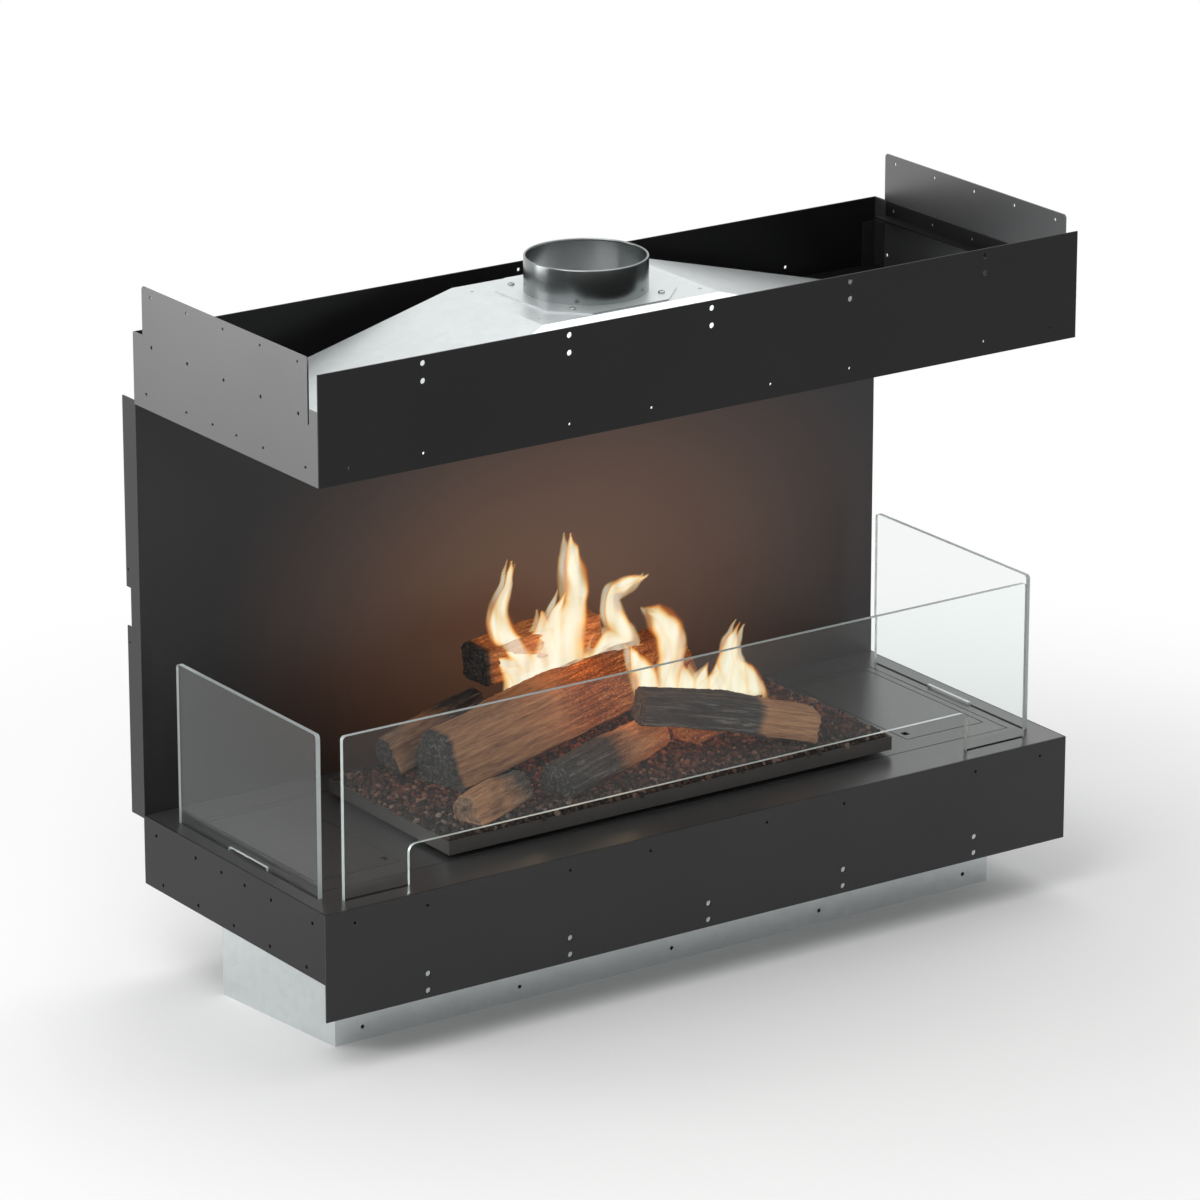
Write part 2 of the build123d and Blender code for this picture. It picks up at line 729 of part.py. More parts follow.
def split_log(label, start, end, breadth, height, section, taper=0.9, rise=0):
    """Ceramic log between two points over the bed, with an arch or hollow of the given rise at its middle."""
    first = Vector(start[0], start[1], start[2] + ember_top)
    last = Vector(end[0], end[1], end[2] + ember_top)
    run = last - first
    across = Vector(0, 0, 1).cross(run).normalized()
    middle = first + run * 0.5 + Vector(0, 0, rise)
    with BuildPart() as log:
        for place, scale in ((first, 1), (middle, 1 + (1 + taper) / 50), (last, taper)):
            points = [(x * breadth * scale, y * height * scale) for x, y in section]
            with BuildSketch(Plane(origin=place, x_dir=across, z_dir=run)):
                with BuildLine():
                    Polyline(*points, close=True)
                make_face()
        loft(ruled=True)
    save(log.part, label)


split_log("main_log", (-240, 18, log_gap), (178, 116, 38), 82, 70, quarter_split, taper=0.94)
split_log("rear_left_log", (-262, 94, log_gap), (-112, 112, 36), 46, 46, quarter_split)
split_log("rear_top_log", (-122, 117, 80), (62, 131, 94.5), 52, 50, slab_split, taper=0.88)
split_log("front_left_log", (-284, -106, log_gap), (-178, -66, 3), 46, 36, quarter_split)
split_log("middle_log", (-146, -90, log_gap), (60, -2, log_gap), 56, 44, half_split)
split_log("right_front_log", (10, -30, 48), (226, -98, log_gap), 50, 42, slab_split, taper=0.95, rise=5)
split_log("inner_log", (92, -20, log_gap), (232, 30, log_gap), 46, 34, half_split)
split_log("rear_right_log", (158, 66, log_gap), (266, 90, log_gap), 42, 36, quarter_split)
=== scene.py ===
import json
import math
import random

import bmesh
import bpy
import numpy as np
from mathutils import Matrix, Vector, noise


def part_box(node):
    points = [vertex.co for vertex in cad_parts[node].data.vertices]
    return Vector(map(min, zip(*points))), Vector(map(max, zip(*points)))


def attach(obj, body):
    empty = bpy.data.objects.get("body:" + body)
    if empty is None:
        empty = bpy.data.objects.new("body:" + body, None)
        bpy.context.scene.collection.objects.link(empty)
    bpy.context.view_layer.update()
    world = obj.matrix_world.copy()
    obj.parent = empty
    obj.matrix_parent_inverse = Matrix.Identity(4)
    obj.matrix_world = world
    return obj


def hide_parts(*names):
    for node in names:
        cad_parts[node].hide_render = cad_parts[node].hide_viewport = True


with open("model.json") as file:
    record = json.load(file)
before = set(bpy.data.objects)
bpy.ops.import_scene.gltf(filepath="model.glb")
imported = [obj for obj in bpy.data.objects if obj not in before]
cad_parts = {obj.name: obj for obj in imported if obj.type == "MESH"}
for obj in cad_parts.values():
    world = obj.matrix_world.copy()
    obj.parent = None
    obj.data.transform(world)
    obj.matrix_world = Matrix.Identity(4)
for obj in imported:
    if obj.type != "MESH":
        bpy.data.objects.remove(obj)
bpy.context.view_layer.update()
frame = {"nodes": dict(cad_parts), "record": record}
nodes = frame["nodes"]
scene = bpy.context.scene
mm = 0.001
weldDistance = 1e-5
glossSpread = 0.03  # how far a finish wanders from its roughness, to each side
print("frame loaded:", len(nodes), "nodes")


# small helpers used by every piece

def hexColour(code):
    channels = [int(code[i:i + 2], 16) / 255 for i in (1, 3, 5)]
    linear = [c / 12.92 if c <= 0.04045 else ((c + 0.055) / 1.055) ** 2.4 for c in channels]
    return (*linear, 1.0)


def addNode(tree, kind, inputs=None, **settings):
    node = tree.nodes.new(kind)
    for name, value in settings.items():
        setattr(node, name, value)
    for name, value in (inputs or {}).items():
        if isinstance(value, bpy.types.NodeSocket):
            tree.links.new(value, node.inputs[name])
        else:
            node.inputs[name].default_value = value
    return node


def rampStops(ramp, stops):
    while len(ramp.color_ramp.elements) < len(stops):
        ramp.color_ramp.elements.new(0.5)
    for element, (place, colour) in zip(ramp.color_ramp.elements, stops):
        element.position = place
        element.color = hexColour(colour) if isinstance(colour, str) else (colour, colour, colour, 1)
    return ramp.outputs["Color"]


def newMaterial(name):
    material = bpy.data.materials.new(name)
    material.use_nodes = True
    tree = material.node_tree
    tree.nodes.clear()
    return material, tree, addNode(tree, "ShaderNodeOutputMaterial")


def meshObject(name, mesh):
    piece = bpy.data.objects.new(name, mesh)
    scene.collection.objects.link(piece)
    return piece


def evaluatedMesh(piece):
    bpy.context.view_layer.update()
    depsgraph = bpy.context.evaluated_depsgraph_get()
    return bpy.data.meshes.new_from_object(piece.evaluated_get(depsgraph))


def weldedCopy(name, node):
    bm = bmesh.new()
    bm.from_mesh(nodes[node].data)
    bmesh.ops.remove_doubles(bm, verts=bm.verts, dist=weldDistance)
    mesh = bpy.data.meshes.new(name)
    bm.to_mesh(mesh)
    bm.free()
    return mesh


def setMaterial(piece, material):
    piece.data.materials.clear()
    piece.data.materials.append(material)


# finishes

paintGrain = {"peelScale": 900, "peelDepth": 0.0002, "cloudScale": 6, "glowFace": -0.5}


def satinPaint(name, look):
    # sprayed heat-resistant paint: a fine orange peel and slightly uneven gloss
    material, tree, output = newMaterial(name)
    place = addNode(tree, "ShaderNodeTexCoord")
    peel = addNode(tree, "ShaderNodeTexNoise", {
        "Vector": place.outputs["Object"], "Scale": paintGrain["peelScale"], "Detail": 2})
    cloud = addNode(tree, "ShaderNodeTexNoise", {
        "Vector": place.outputs["Object"], "Scale": paintGrain["cloudScale"], "Detail": 4})
    gloss = addNode(tree, "ShaderNodeMapRange", {
        "Value": cloud.outputs["Fac"], "To Min": look["roughness"] - glossSpread,
        "To Max": look["roughness"] + glossSpread})
    bump = addNode(tree, "ShaderNodeBump", {
        "Height": peel.outputs["Fac"], "Strength": look["peel"], "Distance": paintGrain["peelDepth"]})
    tone = addNode(tree, "ShaderNodeValToRGB", {"Fac": cloud.outputs["Fac"]})
    shader = addNode(tree, "ShaderNodeBsdfPrincipled", {
        "Base Color": rampStops(tone, [(0.3, look["low"]), (0.7, look["high"])]),
        "Roughness": gloss.outputs["Result"], "Normal": bump.outputs["Normal"], "IOR": look["ior"]})
    if "glowPlace" in look:
        # painted fire light: the sheet behind the fire glows with the fire's light, on the face that looks at
        # the fire
        shifted = addNode(tree, "ShaderNodeMapping", {
            "Vector": place.outputs["Object"], "Scale": look["glowScale"],
            "Location": [-p * s for p, s in zip(look["glowPlace"], look["glowScale"])]})
        reach = addNode(tree, "ShaderNodeVectorMath", {0: shifted.outputs["Vector"]}, operation="LENGTH")
        near = addNode(tree, "ShaderNodeMapRange", {
            "Value": reach.outputs["Value"], "From Max": 1.0, "To Min": 1.0, "To Max": 0.0},
            interpolation_type="SMOOTHSTEP")
        facing = addNode(tree, "ShaderNodeSeparateXYZ", {"Vector": place.outputs["Normal"]})
        inner = addNode(tree, "ShaderNodeMath", {0: facing.outputs["Y"], 1: paintGrain["glowFace"]},
                        operation="LESS_THAN")
        lit = addNode(tree, "ShaderNodeMath", {0: near.outputs["Result"], 1: inner.outputs["Value"]},
                      operation="MULTIPLY")
        power = addNode(tree, "ShaderNodeMath", {0: lit.outputs["Value"], 1: look["glowPower"]},
                        operation="MULTIPLY")
        tree.links.new(power.outputs["Value"], shader.inputs["Emission Strength"])
        shader.inputs["Emission Color"].default_value = hexColour(look["glowColour"])
    tree.links.new(shader.outputs["BSDF"], output.inputs["Surface"])
    return material


def galvanisedSheet(name, look):
    # hot-dip galvanised steel: pale zinc with faint crystal flakes about 12 mm across
    material, tree, output = newMaterial(name)
    place = addNode(tree, "ShaderNodeTexCoord")
    flakes = addNode(tree, "ShaderNodeTexVoronoi", {
        "Vector": place.outputs["Object"], "Scale": look["flakeScale"]})
    cloud = addNode(tree, "ShaderNodeTexNoise", {
        "Vector": place.outputs["Object"], "Scale": look["cloudScale"], "Detail": 3})
    flakeGrey = addNode(tree, "ShaderNodeSeparateColor", {"Color": flakes.outputs["Color"]})
    mixed = addNode(tree, "ShaderNodeMath", {0: flakeGrey.outputs["Red"], 1: cloud.outputs["Fac"]},
                    operation="MULTIPLY")
    tone = addNode(tree, "ShaderNodeValToRGB", {"Fac": mixed.outputs["Value"]})
    gloss = addNode(tree, "ShaderNodeMapRange", {
        "Value": mixed.outputs["Value"], "To Min": look["roughness"],
        "To Max": look["roughness"] + glossSpread})
    shader = addNode(tree, "ShaderNodeBsdfPrincipled", {
        "Base Color": rampStops(tone, [(0.0, look["low"]), (0.7, look["high"])]),
        "Roughness": gloss.outputs["Result"], "Metallic": look["metallic"]})
    tree.links.new(shader.outputs["BSDF"], output.inputs["Surface"])
    return material


def rolledSteel(name, look):
    # cold-rolled sheet: faint lines left by the rolls, along one way
    material, tree, output = newMaterial(name)
    place = addNode(tree, "ShaderNodeTexCoord")
    turned = addNode(tree, "ShaderNodeMapping", {
        "Vector": place.outputs["Object"], "Scale": look["stretch"]})
    lines = addNode(tree, "ShaderNodeTexNoise", {
        "Vector": turned.outputs["Vector"], "Scale": look["lineScale"], "Detail": 4})
    gloss = addNode(tree, "ShaderNodeMapRange", {
        "Value": lines.outputs["Fac"], "To Min": look["roughness"] - glossSpread,
        "To Max": look["roughness"] + glossSpread})
    shader = addNode(tree, "ShaderNodeBsdfPrincipled", {
        "Base Color": hexColour(look["colour"]), "Roughness": gloss.outputs["Result"], "Metallic": 1.0})
    tree.links.new(shader.outputs["BSDF"], output.inputs["Surface"])
    return material


glassLook = {"clear": "#fbfefd", "edge": "#dfe8e6", "shadow": "#f7faf9", "ior": 1.27, "edgeBelow": 0.5,
             "edgeHaze": 0.3, "edgeLoss": -0.6}


def clearGlass(name, acrossAxis):
    # toughened float glass: clear through the pane, pale and frosted on its ground edges. The low IOR
    # weakens the reflections, because a real room is darker than the white studio
    material, tree, output = newMaterial(name)
    place = addNode(tree, "ShaderNodeTexCoord")
    facing = addNode(tree, "ShaderNodeSeparateXYZ", {"Vector": place.outputs["Normal"]})
    across = addNode(tree, "ShaderNodeMath", {0: facing.outputs[acrossAxis]}, operation="ABSOLUTE")
    edge = addNode(tree, "ShaderNodeMath", {0: across.outputs["Value"], 1: glassLook["edgeBelow"]},
                   operation="LESS_THAN")
    tint = addNode(tree, "ShaderNodeMix", {
        0: edge.outputs["Value"], 6: hexColour(glassLook["clear"]), 7: hexColour(glassLook["edge"])},
        data_type="RGBA")
    haze = addNode(tree, "ShaderNodeMath", {0: edge.outputs["Value"], 1: glassLook["edgeHaze"]},
                   operation="MULTIPLY")
    clear = addNode(tree, "ShaderNodeMath", {0: edge.outputs["Value"], 1: glassLook["edgeLoss"], 2: 1.0},
                    operation="MULTIPLY_ADD")
    pane = addNode(tree, "ShaderNodeBsdfPrincipled", {
        "Base Color": tint.outputs[2], "Roughness": haze.outputs["Value"], "IOR": glassLook["ior"],
        "Transmission Weight": clear.outputs["Value"]})
    path = addNode(tree, "ShaderNodeLightPath")
    through = addNode(tree, "ShaderNodeBsdfTransparent", {"Color": hexColour(glassLook["shadow"])})
    both = addNode(tree, "ShaderNodeMixShader", {
        0: path.outputs["Is Shadow Ray"], 1: pane.outputs["BSDF"], 2: through.outputs["BSDF"]})
    tree.links.new(both.outputs["Shader"], output.inputs["Surface"])
    return material


def plainFinish(name, look):
    # small pieces of felt, silicone and plating: one colour with a fine mottle
    material, tree, output = newMaterial(name)
    place = addNode(tree, "ShaderNodeTexCoord")
    mottle = addNode(tree, "ShaderNodeTexNoise", {
        "Vector": place.outputs["Object"], "Scale": look["scale"], "Detail": 3})
    tone = addNode(tree, "ShaderNodeValToRGB", {"Fac": mottle.outputs["Fac"]})
    bump = addNode(tree, "ShaderNodeBump", {
        "Height": mottle.outputs["Fac"], "Strength": look["bump"], "Distance": 0.0005})
    shader = addNode(tree, "ShaderNodeBsdfPrincipled", {
        "Base Color": rampStops(tone, [(0.35, look["low"]), (0.65, look["high"])]),
        "Roughness": look["roughness"], "Metallic": look["metallic"], "Normal": bump.outputs["Normal"]})
    tree.links.new(shader.outputs["BSDF"], output.inputs["Surface"])
    return material


blackPaint = {"low": "#18181a", "high": "#1f1f21", "roughness": 0.42, "peel": 0.05, "ior": 1.45}
finishes = {
    "black_paint": satinPaint("satin_black_paint", blackPaint),
    "galvanised_sheet": galvanisedSheet("galvanised_zinc", {
        "low": "#d0d5d6", "high": "#d7dcdc", "roughness": 0.34, "metallic": 0.8,
        "flakeScale": 80, "cloudScale": 14}),
    "stainless_steel": rolledSteel("rolled_stainless", {
        "colour": "#a9abab", "roughness": 0.3, "stretch": (1, 12, 12), "lineScale": 120}),
    "zinc_screws": plainFinish("zinc_plating", {
        "low": "#8d9091", "high": "#a9acad", "roughness": 0.3, "scale": 300, "metallic": 1.0, "bump": 0.05}),
    "silicone": plainFinish("black_silicone", {
        "low": "#121212", "high": "#1a1a1a", "roughness": 0.6, "scale": 200, "metallic": 0.0, "bump": 0.1}),
    "ceramic_fibre": plainFinish("ceramic_wool_felt", {
        "low": "#cfcabf", "high": "#ebe7dd", "roughness": 0.95, "scale": 90, "metallic": 0.0, "bump": 0.6}),
    "ember_chips": plainFinish("ember_bed_dust", {
        "low": "#0e0907", "high": "#1e130d", "roughness": 0.95, "scale": 120, "metallic": 0.0, "bump": 0.6}),
}
finishes["ceramic_log"] = finishes["ember_chips"]  # each log's own painted piece takes its place below
floorPaint = satinPaint("glossy_floor_paint", {
    "low": "#353535", "high": "#393939", "roughness": 0.3, "peel": 0.01, "ior": 2.0})
trayPaint = satinPaint("tray_black_paint", {
    "low": "#393734", "high": "#403d3a", "roughness": 0.35, "peel": 0.03, "ior": 1.5})
# a darker, less reflective copy of the black paint for the hood's front fascia: painted shade
shadedFasciaPaint = satinPaint("hood_fascia_paint_painted_shade", {
    "low": "#101011", "high": "#151516", "roughness": 0.5, "peel": 0.05, "ior": 1.32})
# a lighter, more reflective copy of the black paint for the hood sides: painted sheen where the light falls
# on them
litSidePaint = satinPaint("hood_side_paint_painted_sheen", {
    "low": "#262627", "high": "#2b2b2c", "roughness": 0.34, "peel": 0.03, "ior": 2.1})
# the back wall's black paint, with the fire's light painted on as a glow
wallPaintAndFireGlow = satinPaint("wall_paint_and_painted_fire_glow", {
    **blackPaint, "glowPlace": (0.07, 0.2, 0.39), "glowScale": (1.8, 1.0, 2.8), "glowPower": 0.1,
    "glowColour": "#ffb790"})
# a darker copy of the black paint inside the hood: painted shade in the recess
shadedInsidePaint = satinPaint("hood_inside_paint_painted_shade", {**blackPaint, "low": "#0b0b0b", "high": "#101010", "ior": 1.3})
# the black paint with weaker reflections for the base sides, so they show darker: painted shade
dimmedBaseSidePaint = satinPaint("base_side_paint_painted_shade", {**blackPaint, "ior": 1.34})
collarSteel = rolledSteel("collar_galvanised", {
    "colour": "#8b8f8f", "roughness": 0.24, "stretch": (1, 1, 8), "lineScale": 120})
specialFinish = {
    "deck_plate": floorPaint, "floor_plate": floorPaint, "left_service_cover": floorPaint,
    "right_service_cover": floorPaint, "burner_tray": trayPaint, "flue_collar": collarSteel,
    "hood_front_fascia": shadedFasciaPaint, "hood_left_side": litSidePaint, "hood_right_side": litSidePaint,
    "back_wall": wallPaintAndFireGlow, "hood_ceiling": shadedInsidePaint, "hood_back_panel": shadedInsidePaint,
    "hood_left_rail": shadedInsidePaint, "hood_right_rail": shadedInsidePaint, "base_left_side": dimmedBaseSidePaint,
    "base_right_side": dimmedBaseSidePaint,
}
glassAcross = {"front_glass": "Y", "left_glass": "X", "right_glass": "X"}

slotOf = {row["node"]: row["material_slot"] for row in frame["record"]["subparts"]}
for name, piece in nodes.items():
    if name in glassAcross:
        setMaterial(piece, clearGlass("float_" + name, glassAcross[name]))
    else:
        setMaterial(piece, specialFinish.get(name, finishes[slotOf[name]]))
print("finishes made:", len(bpy.data.materials))


# camera at the photograph's angle

view = {"place": (-4.2497, -6.1334, 2.9061), "turn": (71.61, 0.0, -34.60), "lens": 196.2, "sensor": 36.0,
        "reach": 60}
cameraData = bpy.data.cameras.new("photoCamera")
cameraData.lens = view["lens"]
cameraData.sensor_width = view["sensor"]
cameraData.clip_end = view["reach"]
camera = bpy.data.objects.new("photoCamera", cameraData)
camera.location = view["place"]
camera.rotation_euler = [math.radians(angle) for angle in view["turn"]]
scene.collection.objects.link(camera)
scene.camera = camera
scene.view_settings.view_transform = "Standard"

# pale floor and soft studio light

studio = {
    "floorSize": 40.0, "floorColour": "#f4f4f4", "fadeFrom": 0.65, "fadeTo": 1.5, "white": "#ffffff",
    "worldOnObject": 0.55,
    "softboxes": [
        {"name": "keySoftbox", "place": (-2.3, -0.9, 3.5), "aim": (0, 0, 0.3), "size": (2.6, 2.0),
         "power": 52},
        {"name": "topSoftbox", "place": (0.8, 0.6, 3.4), "aim": (0, 0, 0.8), "size": (2.4, 2.4),
         "power": 34},
        {"name": "leftSoftbox", "place": (-2.2, 1.4, 0.9), "aim": (-0.5, 0, 0.8), "size": (1.2, 1.0),
         "power": 20},
    ],
}


def whiteWhereSeen(tree):
    # one for camera, glossy and transmission rays, so metal and glass show the same white background
    path = addNode(tree, "ShaderNodeLightPath")
    seen = addNode(tree, "ShaderNodeMath", {
        0: path.outputs["Is Camera Ray"], 1: path.outputs["Is Transmission Ray"]}, operation="MAXIMUM")
    both = addNode(tree, "ShaderNodeMath", {0: seen.outputs["Value"], 1: path.outputs["Is Glossy Ray"]},
                   operation="MAXIMUM")
    return both.outputs["Value"]


half = studio["floorSize"] / 2
floorMesh = bpy.data.meshes.new("studioFloor")
floorMesh.from_pydata([(-half, -half, 0), (half, -half, 0), (half, half, 0), (-half, half, 0)], [],
                      [(0, 1, 2, 3)])
floor = meshObject("studioFloor", floorMesh)
floorMaterial, tree, output = newMaterial("matt_paper")
place = addNode(tree, "ShaderNodeTexCoord")
distance = addNode(tree, "ShaderNodeVectorMath", {0: place.outputs["Object"]}, operation="LENGTH")
fade = addNode(tree, "ShaderNodeMapRange", {
    "Value": distance.outputs["Value"], "From Min": studio["fadeFrom"], "From Max": studio["fadeTo"]},
    interpolation_type="SMOOTHSTEP")
paper = addNode(tree, "ShaderNodeBsdfDiffuse", {"Color": hexColour(studio["floorColour"])})
white = addNode(tree, "ShaderNodeEmission", {"Color": hexColour(studio["white"]), "Strength": 1.0})
share = addNode(tree, "ShaderNodeMath", {0: fade.outputs["Result"], 1: whiteWhereSeen(tree)},
                operation="MULTIPLY")
ground = addNode(tree, "ShaderNodeMixShader", {
    0: share.outputs["Value"], 1: paper.outputs["BSDF"], 2: white.outputs["Emission"]})
tree.links.new(ground.outputs["Shader"], output.inputs["Surface"])
setMaterial(floor, floorMaterial)

world = bpy.data.worlds.new("studioWorld")
scene.world = world
world.use_nodes = True
tree = world.node_tree
tree.nodes.clear()
lit = addNode(tree, "ShaderNodeBackground", {
    "Color": hexColour(studio["white"]), "Strength": studio["worldOnObject"]})
shown = addNode(tree, "ShaderNodeBackground", {"Color": hexColour(studio["white"]), "Strength": 1.0})
both = addNode(tree, "ShaderNodeMixShader", {
    0: whiteWhereSeen(tree), 1: lit.outputs["Background"], 2: shown.outputs["Background"]})
addNode(tree, "ShaderNodeOutputWorld", {"Surface": both.outputs["Shader"]})

for box in studio["softboxes"]:
    lamp = bpy.data.lights.new(box["name"], "AREA")
    lamp.shape = "RECTANGLE"
    lamp.size, lamp.size_y = box["size"]
    lamp.energy = box["power"]
    holder = bpy.data.objects.new(box["name"], lamp)
    holder.location = box["place"]
    aim = Vector(box["aim"]) - Vector(box["place"])
    holder.rotation_euler = aim.to_track_quat("-Z", "Y").to_euler()
    scene.collection.objects.link(holder)
print("camera, floor and light set")


# ceramic logs: the plain solids are remeshed finely, then split fibre and bark are cut into them

logs = {
    "voxel": 0.0024, "barkDepth": 0.0028, "splitDepth": 0.0012, "lumpDepth": 0.003, "endDepth": 0.0032,
    # each scale runs along the grain, then across it
    "lumpScale": (22, 30), "fibreScale": (12, 190), "cellScale": (120, 200), "endScale": 90, "seedStep": 7.3,
    "endFrom": 0.6, "fibreInBark": 0.6, "cellInBark": 0.5, "greyBelow": 0.55, "charAtEnds": 0.3,
    # each look runs from the left end (0) to the right end (1) of the log
    # each look's glow is painted fire light, the flames' light on that stretch of the log
    "looks": {
        "main_log": {
            "seed": 3, "char": [(0, 0.9), (0.04, 0.1), (0.4, 0.15), (0.55, 0.3), (1, 0.2)],
            "bark": [(0, 0), (0.42, 0), (0.55, 1), (1, 1)],
            "glow": [(0, 0), (0.4, 0.05), (0.55, 0.6), (0.85, 0.9), (1, 0.5)]},
        "rear_left_log": {
            "seed": 7, "char": [(0, 0.5), (0.4, 0.3), (0.8, 0.85), (1, 1)], "bark": [(0, 0), (1, 0.4)],
            "glow": [(0, 0), (1, 0.02)]},
        "rear_top_log": {
            "seed": 11, "char": [(0, 1), (0.03, 0.9), (0.07, 0.05), (1, 0.1)],
            "bark": [(0, 0.8), (0.2, 0.5), (0.3, 0.1), (1, 0.1)],
            "glow": [(0, 0), (0.04, 0.05), (0.09, 1.1), (0.9, 1.1), (1, 0.6)]},
        "front_left_log": {
            "seed": 13, "char": [(0, 0.2), (0.5, 0.3), (1, 0.9)], "bark": [(0, 0), (1, 0.2)],
            "glow": [(0, 0), (1, 0.05)]},
        "middle_log": {
            "seed": 17, "char": [(0, 1), (0.35, 0.85), (0.6, 0.3), (1, 0.15)],
            "bark": [(0, 0.8), (0.5, 0.6), (0.7, 0), (1, 0)],
            "glow": [(0, 0), (0.5, 0.1), (0.8, 1.0), (1, 1.1)]},
        "right_front_log": {
            "seed": 19, "char": [(0, 1), (0.56, 1), (0.64, 0.7), (0.7, 0.15), (1, 0.2)],
            "bark": [(0, 0.7), (0.6, 0.6), (0.7, 0), (1, 0)], "glow": [(0, 0.1), (0.3, 0.04), (1, 0)]},
        "inner_log": {
            "seed": 23, "char": [(0, 0.3), (1, 0.5)], "bark": [(0, 1), (1, 1)],
            "glow": [(0, 1.1), (0.5, 0.9), (1, 0.4)]},
        "rear_right_log": {
            "seed": 29, "char": [(0, 0.4), (1, 0.5)], "bark": [(0, 0.6), (1, 0.8)],
            "glow": [(0, 0.5), (1, 0.2)]},
    },
}
# the paint on the logs, and the fire light painted on them; the scales run along the grain, then across it
ceramicLook = {
    "fibreScale": (14, 220, 220), "hairScale": (60, 900, 900), "cellScale": (150, 260, 260),
    "blotchScale": 24,
    "fibreShare": 0.6, "hairShare": 0.4, "charSpread": 0.9, "crackWidth": 0.16, "crackDark": 0.4,
    "glowLow": 0.1, "glowCrack": 0.27,
    "tan": [(0.34, "#5f4029"), (0.48, "#94694a"), (0.62, "#ab825c")],
    "brown": [(0.34, "#2a170d"), (0.5, "#6b4027"), (0.64, "#96623a")],
    "grey": [(0.36, "#161515"), (0.52, "#35322f"), (0.66, "#77716b")],
    # the heat colours are painted fire light, the flames' light on the logs
    "heat": [(0.36, "#5e1d06"), (0.5, "#b8531c"), (0.64, "#f09a48")],
}


def paintedCeramicAndFireLight(name):
    # moulded ceramic painted as split logs: tan fibre, brown bark, grey char and dark cracks in the bark,
    # with painted fire light in the heat colours, glowing where the flames' light falls and weakest in the
    # cracks
    material, tree, output = newMaterial(name)
    grain = addNode(tree, "ShaderNodeAttribute", attribute_name="grain")
    finishAndFireLight = addNode(tree, "ShaderNodeAttribute", attribute_name="finishAndFireLight")
    parts = addNode(tree, "ShaderNodeSeparateXYZ", {"Vector": finishAndFireLight.outputs["Vector"]})
    char, bark, glow = (parts.outputs[axis] for axis in "XYZ")
    along = addNode(tree, "ShaderNodeMapping", {
        "Vector": grain.outputs["Vector"], "Scale": ceramicLook["fibreScale"]})
    fibre = addNode(tree, "ShaderNodeTexNoise", {
        "Vector": along.outputs["Vector"], "Scale": 1.0, "Detail": 6, "Roughness": 0.65})
    fine = addNode(tree, "ShaderNodeMapping", {
        "Vector": grain.outputs["Vector"], "Scale": ceramicLook["hairScale"]})
    hair = addNode(tree, "ShaderNodeTexNoise", {"Vector": fine.outputs["Vector"], "Scale": 1.0, "Detail": 3})
    cellPlace = addNode(tree, "ShaderNodeMapping", {
        "Vector": grain.outputs["Vector"], "Scale": ceramicLook["cellScale"]})
    cells = addNode(tree, "ShaderNodeTexVoronoi", {"Vector": cellPlace.outputs["Vector"], "Scale": 1.0},
                    feature="DISTANCE_TO_EDGE")
    blotch = addNode(tree, "ShaderNodeTexNoise", {
        "Vector": grain.outputs["Vector"], "Scale": ceramicLook["blotchScale"], "Detail": 5})
    strands = addNode(tree, "ShaderNodeMath", {0: fibre.outputs["Fac"], 1: ceramicLook["fibreShare"]},
                      operation="MULTIPLY")
    strandMix = addNode(tree, "ShaderNodeMath", {
        0: hair.outputs["Fac"], 1: ceramicLook["hairShare"], 2: strands.outputs["Value"]},
        operation="MULTIPLY_ADD")
    streak = strandMix.outputs["Value"]
    tan, brown, grey, heat = (
        rampStops(addNode(tree, "ShaderNodeValToRGB", {"Fac": streak}), ceramicLook[tone])
        for tone in ("tan", "brown", "grey", "heat"))
    barked = addNode(tree, "ShaderNodeMix", {0: bark, 6: tan, 7: brown}, data_type="RGBA")
    charEdge = addNode(tree, "ShaderNodeMath", {0: blotch.outputs["Fac"], 1: 0.5}, operation="SUBTRACT")
    charSum = addNode(tree, "ShaderNodeMath", {
        0: charEdge.outputs["Value"], 1: ceramicLook["charSpread"], 2: char}, operation="MULTIPLY_ADD")
    charStep = addNode(tree, "ShaderNodeMapRange", {
        "Value": charSum.outputs["Value"], "From Min": 0.3, "From Max": 0.7})
    charred = addNode(tree, "ShaderNodeMix", {0: charStep.outputs["Result"], 6: barked.outputs[2], 7: grey},
                      data_type="RGBA")
    crackTone = rampStops(addNode(tree, "ShaderNodeValToRGB", {"Fac": cells.outputs["Distance"]}),
                          [(0.0, 0.0), (ceramicLook["crackWidth"], 1.0)])
    crackDark = addNode(tree, "ShaderNodeMath", {
        0: crackTone, 1: 1 - ceramicLook["crackDark"], 2: ceramicLook["crackDark"]}, operation="MULTIPLY_ADD")
    barkCrack = addNode(tree, "ShaderNodeMix", {0: bark, 2: 1.0, 3: crackDark.outputs["Value"]},
                        data_type="FLOAT")
    cracked = addNode(tree, "ShaderNodeMix", {0: 1.0, 6: charred.outputs[2], 7: barkCrack.outputs[0]},
                      data_type="RGBA", blend_type="MULTIPLY")
    # painted fire light, weakest in the cracks
    fireLightByCracks = addNode(tree, "ShaderNodeMath", {
        0: crackTone, 1: ceramicLook["glowCrack"], 2: ceramicLook["glowLow"]}, operation="MULTIPLY_ADD")
    fireLightPower = addNode(tree, "ShaderNodeMath", {0: glow, 1: fireLightByCracks.outputs["Value"]},
                        operation="MULTIPLY")
    height = addNode(tree, "ShaderNodeMath", {0: fibre.outputs["Fac"], 1: barkCrack.outputs[0]},
                     operation="ADD")
    bump = addNode(tree, "ShaderNodeBump", {
        "Height": height.outputs["Value"], "Strength": 0.6, "Distance": 0.0012})
    shader = addNode(tree, "ShaderNodeBsdfPrincipled", {
        "Base Color": cracked.outputs[2], "Roughness": 0.85, "Normal": bump.outputs["Normal"],
        "Emission Color": heat, "Emission Strength": fireLightPower.outputs["Value"]})
    tree.links.new(shader.outputs["BSDF"], output.inputs["Surface"])
    return material


def ridged(point):
    return 1 - abs(2 * noise.noise(point))


